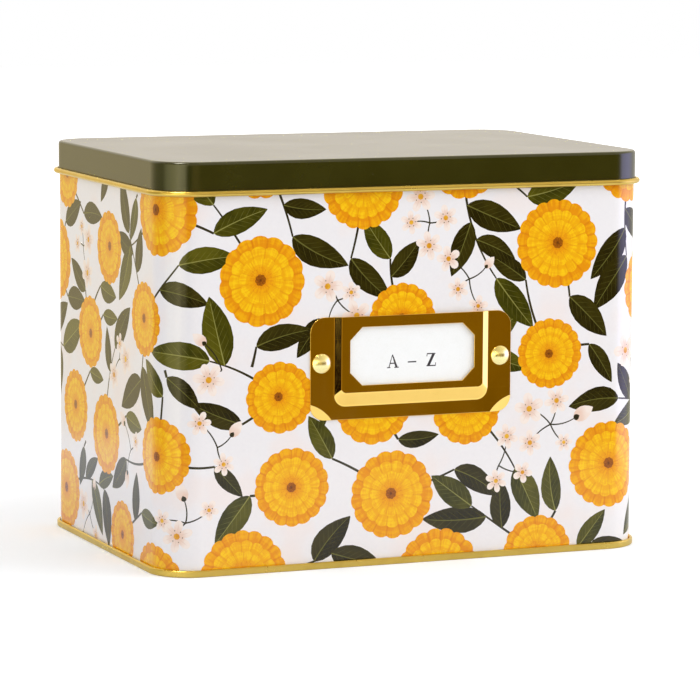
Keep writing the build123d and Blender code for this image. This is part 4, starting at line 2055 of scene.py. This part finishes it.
@dataclass(frozen=True)
class Paper:
    """Card stock, plain or printed with the letters' ink."""

    name: str
    colour: Colour
    fibre: Colour
    roughness: float

    def build(self) -> bpy.types.Material:
        """Makes the material: fibres are long narrow noise in two directions."""
        surface = Surface(self.name, self.colour)
        ways = ((900.0, 1.0, 5200.0), (5200.0, 1.0, 1100.0))
        first, second = ((surface.place * way).noise(1.0, 3.0, 0.6) for way in ways)
        fibres, cloud = first.of("MAXIMUM", second), surface.place.noise(240.0, 3.0, 0.6)
        base = (fibres + cloud * 0.4).step(0.62, 0.95).between(self.colour, self.fibre)
        rough = cloud.step(0.2, 0.8, self.roughness - 0.1, self.roughness)
        return surface.finish({"Base Color": base, "Roughness": rough}, fibres, 0.5, 0.00002)


LABEL_PAPER = Paper("label_paper", (0.985, 0.985, 0.98), (0.935, 0.935, 0.92), 0.7)
LETTER_INK = Paper("letter_ink", (0.022, 0.018, 0.024), (0.05, 0.046, 0.05), 0.6)


# ------------------------------------------------------------------ studio

Ramp = tuple[tuple[float, Colour], ...]


def direction(heading: float, elevation: float) -> tuple[float, float, float]:
    """Unit direction: (sin h cos e, -cos h cos e, sin e), so that heading 0 is the tin's front."""
    side, rise = math.radians(heading), math.radians(elevation)
    return (math.sin(side) * math.cos(rise), -math.cos(side) * math.cos(rise), math.sin(rise))


@dataclass(frozen=True)
class Studio:
    """White table, white surroundings with a dark opening in front, and one large soft lamp.

    Angles are in degrees: headings go from the front to its right, and elevations up from the table.

    Attributes:
        ambient: Light from all round.
        table_white: Colour of the table.
        table_glow: White that the table adds for the camera near the tin.
        glossy_glow: Share of that glow in reflections, where the lit table is near white already.
        table_reach: Distances where reflections of the table begin to end and have ended, in metres.
        table_far: Distances where the glow begins to grow and has reached 1.
        lamp_power: Power of the lamp in watts.
        strongest: Strongest channel of the colours by heading.
        around: Colour of the surroundings in reflections, by heading.
        above: The same for the surroundings above, which take over across the upper band.
        opening_left: Headings where the dark opening begins, from outside to inside.
        opening_right: Headings where it ends.
        opening_foot: Elevations where it begins.
        opening_head: Elevations where it ends.
        opening_inside: Colours inside it, by heading.
        opening_cloud: Scale of the clouds in it.
        low_turn: Turn of its left side, below the low band of elevations.
        glint_way: Heading and elevation of a small bright panel.
        glint_spread: Angles from its middle where the panel begins and is whole.
    """

    ambient: float = 0.91
    table_white: Colour = (0.775, 0.8, 0.825)
    table_glow: float = 0.28
    glossy_glow: float = 0.55
    table_reach: tuple[float, float] = (0.25, 0.33)
    table_far: tuple[float, float] = (0.12, 0.34)
    table_half: float = 3.0
    lamp_power: float = 9.4
    lamp_size: float = 1.1
    lamp_away: float = 1.7
    lamp_heading: float = 60.0
    lamp_elevation: float = 40.0
    strongest: float = 5.0
    around: Ramp = (
        (-180.0, (1.1, 1.0, 0.85)),
        (-165.0, (1.02, 0.86, 0.5)),
        (-148.0, (1.02, 0.86, 0.5)),
        (-125.0, (0.5, 0.44, 0.24)),
        (-98.0, (0.42, 0.38, 0.2)),
        (-84.0, (1.5, 1.4, 0.7)),
        (-60.0, (2.2, 2.0, 1.0)),
        (-44.0, (3.2, 2.9, 1.6)),
        (-28.0, (3.2, 2.9, 1.6)),
        (0.0, (1.0, 0.9, 0.7)),
        (40.0, (1.2, 1.1, 1.0)),
        (58.0, (1.9, 1.84, 3.1)),
        (80.0, (1.9, 1.84, 3.1)),
        (110.0, (1.0, 0.97, 0.9)),
        (180.0, (1.1, 1.0, 0.88)),
    )
    above: Ramp = (
        (-180.0, (1.35, 1.25, 1.0)),
        (-140.0, (1.3, 1.2, 0.95)),
        (-115.0, (0.62, 0.5, 0.32)),
        (-20.0, (0.62, 0.5, 0.32)),
        (50.0, (0.9, 0.8, 0.55)),
        (90.0, (1.2, 1.1, 0.9)),
        (180.0, (1.4, 1.25, 0.8)),
    )
    upper_band: tuple[float, float] = (8.0, 30.0)
    opening_left: tuple[float, float] = (-32.0, -22.0)
    opening_right: tuple[float, float] = (44.0, 58.0)
    opening_foot: tuple[float, float] = (-18.0, -12.0)
    opening_head: tuple[float, float] = (2.0, 12.0)
    opening_inside: Ramp = (
        (-14.0, (0.012, 0.005, 0.0)),
        (-8.0, (0.5, 0.33, 0.07)),
        (6.0, (0.5, 0.33, 0.07)),
        (14.0, (0.185, 0.108, 0.0)),
        (40.0, (0.22, 0.135, 0.006)),
    )
    opening_cloud: float = 34.0
    low_turn: float = 18.0
    low_band: tuple[float, float] = (-6.6, -5.5)
    glint_way: tuple[float, float] = (-72.0, 68.0)
    glint_spread: tuple[float, float] = (11.0, 6.0)
    glint: Colour = (24.0, 23.0, 19.0)

    def build(self) -> None:
        """Builds the table, the surroundings and the lamp."""
        self.build_table()
        self.build_surroundings()
        self.build_lamp()

    def build_table(self) -> None:
        """Table: white for the camera, with the tin's shadow left in it."""
        half = self.table_half
        mesh = bpy.data.meshes.new("table")
        corners = [(-half, -half, 0.0), (half, -half, 0.0), (half, half, 0.0), (-half, half, 0.0)]
        mesh.from_pydata(corners, [], [range(len(corners))])
        material = bpy.data.materials.new("table_white")
        material.use_nodes = True
        material.node_tree.nodes.remove(material.node_tree.nodes["Principled BSDF"])
        wiring = Wiring(material.node_tree)
        names = ("Is Camera Ray", "Is Transmission Ray", "Is Glossy Ray")
        camera, through, glossy = wiring.outs("LightPath", {}, *names)
        place = wiring.out("TexCoord", {}, "Object")
        distance = place.of("LENGTH")
        paler = tuple(channel + 0.02 for channel in self.table_white)
        diffuse = wiring.out("BsdfDiffuse", {"Color": place.noise(40.0).between(self.table_white, paler)})
        seen = glossy * self.glossy_glow + camera.of("MAXIMUM", through)
        glow = seen * distance.step(*self.table_far, self.table_glow, 1.0)
        lit = wiring.out("AddShader", {0: diffuse, 1: wiring.out("Emission", {"Strength": glow})})
        hidden = glossy * distance.step(*self.table_reach)
        whole = wiring.out("MixShader", {0: hidden, 1: lit, 2: wiring.out("BsdfTransparent", {})})
        wiring.feed(material.node_tree.nodes["Material Output"], {"Surface": whole})
        mesh.materials.append(material)
        table = bpy.data.objects.new("table", mesh)
        bpy.context.scene.collection.objects.link(table)

    def build_surroundings(self) -> None:
        """World: white for the camera, even for diffuse light, and by direction in reflections.

        A direction's heading is arctan(x / -y), and its elevation is the arcsine of z.
        """
        world = bpy.data.worlds.new("studio")
        world.use_nodes = True
        world.cycles.sampling_method = "NONE"
        wiring = Wiring(world.node_tree)
        ray = wiring.out("TexCoord", {}, "Generated")
        x, y, z = ray.split()
        heading = x.of("ARCTAN2", y * -1.0).of("DEGREES")
        elevation = z.of("ARCSINE").of("DEGREES")
        foot = elevation.step(*self.opening_foot)
        around, above = self.by_heading(heading, self.around), self.by_heading(heading, self.above)
        sides = foot.between((1.0, 1.0, 1.0), elevation.step(*self.upper_band).between(around, above))
        turned = heading + elevation.step(*self.low_band, self.low_turn, 0.0)
        across = turned.step(*self.opening_left) * heading.step(*self.opening_right, 1.0, 0.0)
        opening = across * (foot * elevation.step(*self.opening_head, 1.0, 0.0))
        cloud = ray.noise(self.opening_cloud).step(0.34, 0.6, 0.84, 1.12)
        room = opening.between(sides, self.by_heading(heading, self.opening_inside) * cloud)
        facing = ray.of("DOT_PRODUCT", direction(*self.glint_way))
        panel = facing.step(*(math.cos(math.radians(angle)) for angle in self.glint_spread))
        diffuse, glossy = wiring.outs("LightPath", {}, "Is Diffuse Ray", "Is Glossy Ray")
        plain = diffuse.between((1.0, 1.0, 1.0), (self.ambient,) * 3)
        shown = glossy.between(plain, panel.between(room, self.glint))
        wiring.feed(world.node_tree.nodes["Background"], {"Color": shown})
        bpy.context.scene.world = world

    def by_heading(self, heading: Term, colours: Ramp) -> Term:
        """Colour at a heading, between the colours given for some headings.

        Args:
            heading: The heading.
            colours: Headings and their colours.

        Returns:
            The colour.
        """
        places = {0: (heading + 180.0) / 360.0}
        ramp = heading.wiring.out("ValToRGB", places)
        stops = ramp.socket.node.color_ramp.elements
        while len(stops) < len(colours):
            stops.new(0.5)
        for stop, (angle, colour) in zip(stops, colours):
            stop.position = (angle + 180.0) / 360.0
            stop.color = (*(channel / self.strongest for channel in colour), 1.0)
        return ramp * self.strongest

    def build_lamp(self) -> None:
        """Large soft lamp in front, to the right and above, unseen in reflections."""
        data = bpy.data.lights.new("soft_lamp", "AREA")
        data.shape, data.size, data.energy = "SQUARE", self.lamp_size, self.lamp_power
        lamp = bpy.data.objects.new("soft_lamp", data)
        lamp.location = [self.lamp_away * part for part in direction(self.lamp_heading, self.lamp_elevation)]
        lamp.rotation_euler = (math.radians(90 - self.lamp_elevation), 0.0, math.radians(self.lamp_heading))
        lamp.visible_glossy = lamp.visible_camera = False
        bpy.context.scene.collection.objects.link(lamp)


@dataclass(frozen=True)
class PhotoCamera:
    """Camera at the photograph's place: its position in millimetres, its axes and its lens."""

    place: tuple[float, float, float] = (-480.987, -1160.266, 222.214)
    right: tuple[float, float, float] = (0.92326602, -0.3841169, 0.00583593)
    up: tuple[float, float, float] = (0.04290218, 0.11819249, 0.99206347)
    lens: float = 191.72
    sensor: float = 36.0

    def build(self) -> None:
        """Makes the camera and gives it to the scene."""
        data = bpy.data.cameras.new("photo_camera")
        data.lens, data.sensor_width = self.lens, self.sensor
        data.clip_start, data.clip_end = 0.05, 20.0
        camera = bpy.data.objects.new("photo_camera", data)
        right, up = np.array(self.right), np.array(self.up)
        axes = Matrix(np.stack([right, up, np.cross(right, up)], 1).tolist())
        camera.matrix_world = Matrix.Translation([METRE * part for part in self.place]) @ axes.to_4x4()
        bpy.context.scene.collection.objects.link(camera)
        bpy.context.scene.camera = camera


def main() -> None:
    """Builds the tin, its lid, its label and the studio."""
    logging.basicConfig(level=logging.INFO, format="%(name)s: %(message)s")
    effects = SharedEffects()
    inks = [PRINT_INKS[ink].build(effects) for ink in Ink]
    lacquer, enamel = GOLD_LACQUER.build(effects), OliveEnamel().build(effects)
    holder_brass, brad_brass = HOLDER_BRASS.build(effects), BRAD_BRASS.build(effects)
    sheet = Sheet.from_frame()
    meadow = Meadow(sheet.outline.length, float(node_box("body_wall")[1][2]))
    motifs = meadow.motifs()
    log.info("print: %d shapes, %d heads, %d leaves", len(motifs), len(meadow.centres), len(meadow.leaves))
    wall = BodyWall(sheet).mesh(motifs, [*inks, lacquer])
    add_piece("wall_sheet", wall, "tin", "printed_wall", "body_wall")
    add_piece("lock_seam", LockSeam(sheet).mesh(lacquer), "tin", "gold_lacquer")
    add_piece("bottom_sheet", BottomPanel(sheet).mesh(lacquer), "tin", "gold_lacquer", "bottom_panel")
    add_piece("lid_sheet", Lid(sheet).mesh(enamel, lacquer), "lid", "olive_enamel", "lid")
    holder = LabelHolder.from_frame()
    add_piece("holder_plate", holder.mesh(holder_brass), "tin", "holder_brass", "label_holder")
    card = LabelCard(holder.plane).mesh(LABEL_PAPER.build(), LETTER_INK.build())
    add_piece("pocket_card", card, "card", "label_paper", "label_card")
    for side in ("left", "right"):
        node = f"brad_cap_{side}"
        add_piece(f"brad_dome_{side}", BradCap(node).mesh(brad_brass), "tin", "brad_brass", node)
        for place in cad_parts[f"brad_prongs_{side}"].material_slots:
            place.link = "OBJECT"
            place.material = brad_brass
    Studio().build()
    PhotoCamera().build()
    bpy.context.scene.view_settings.view_transform = "Standard"


if __name__ == "__main__":
    main()
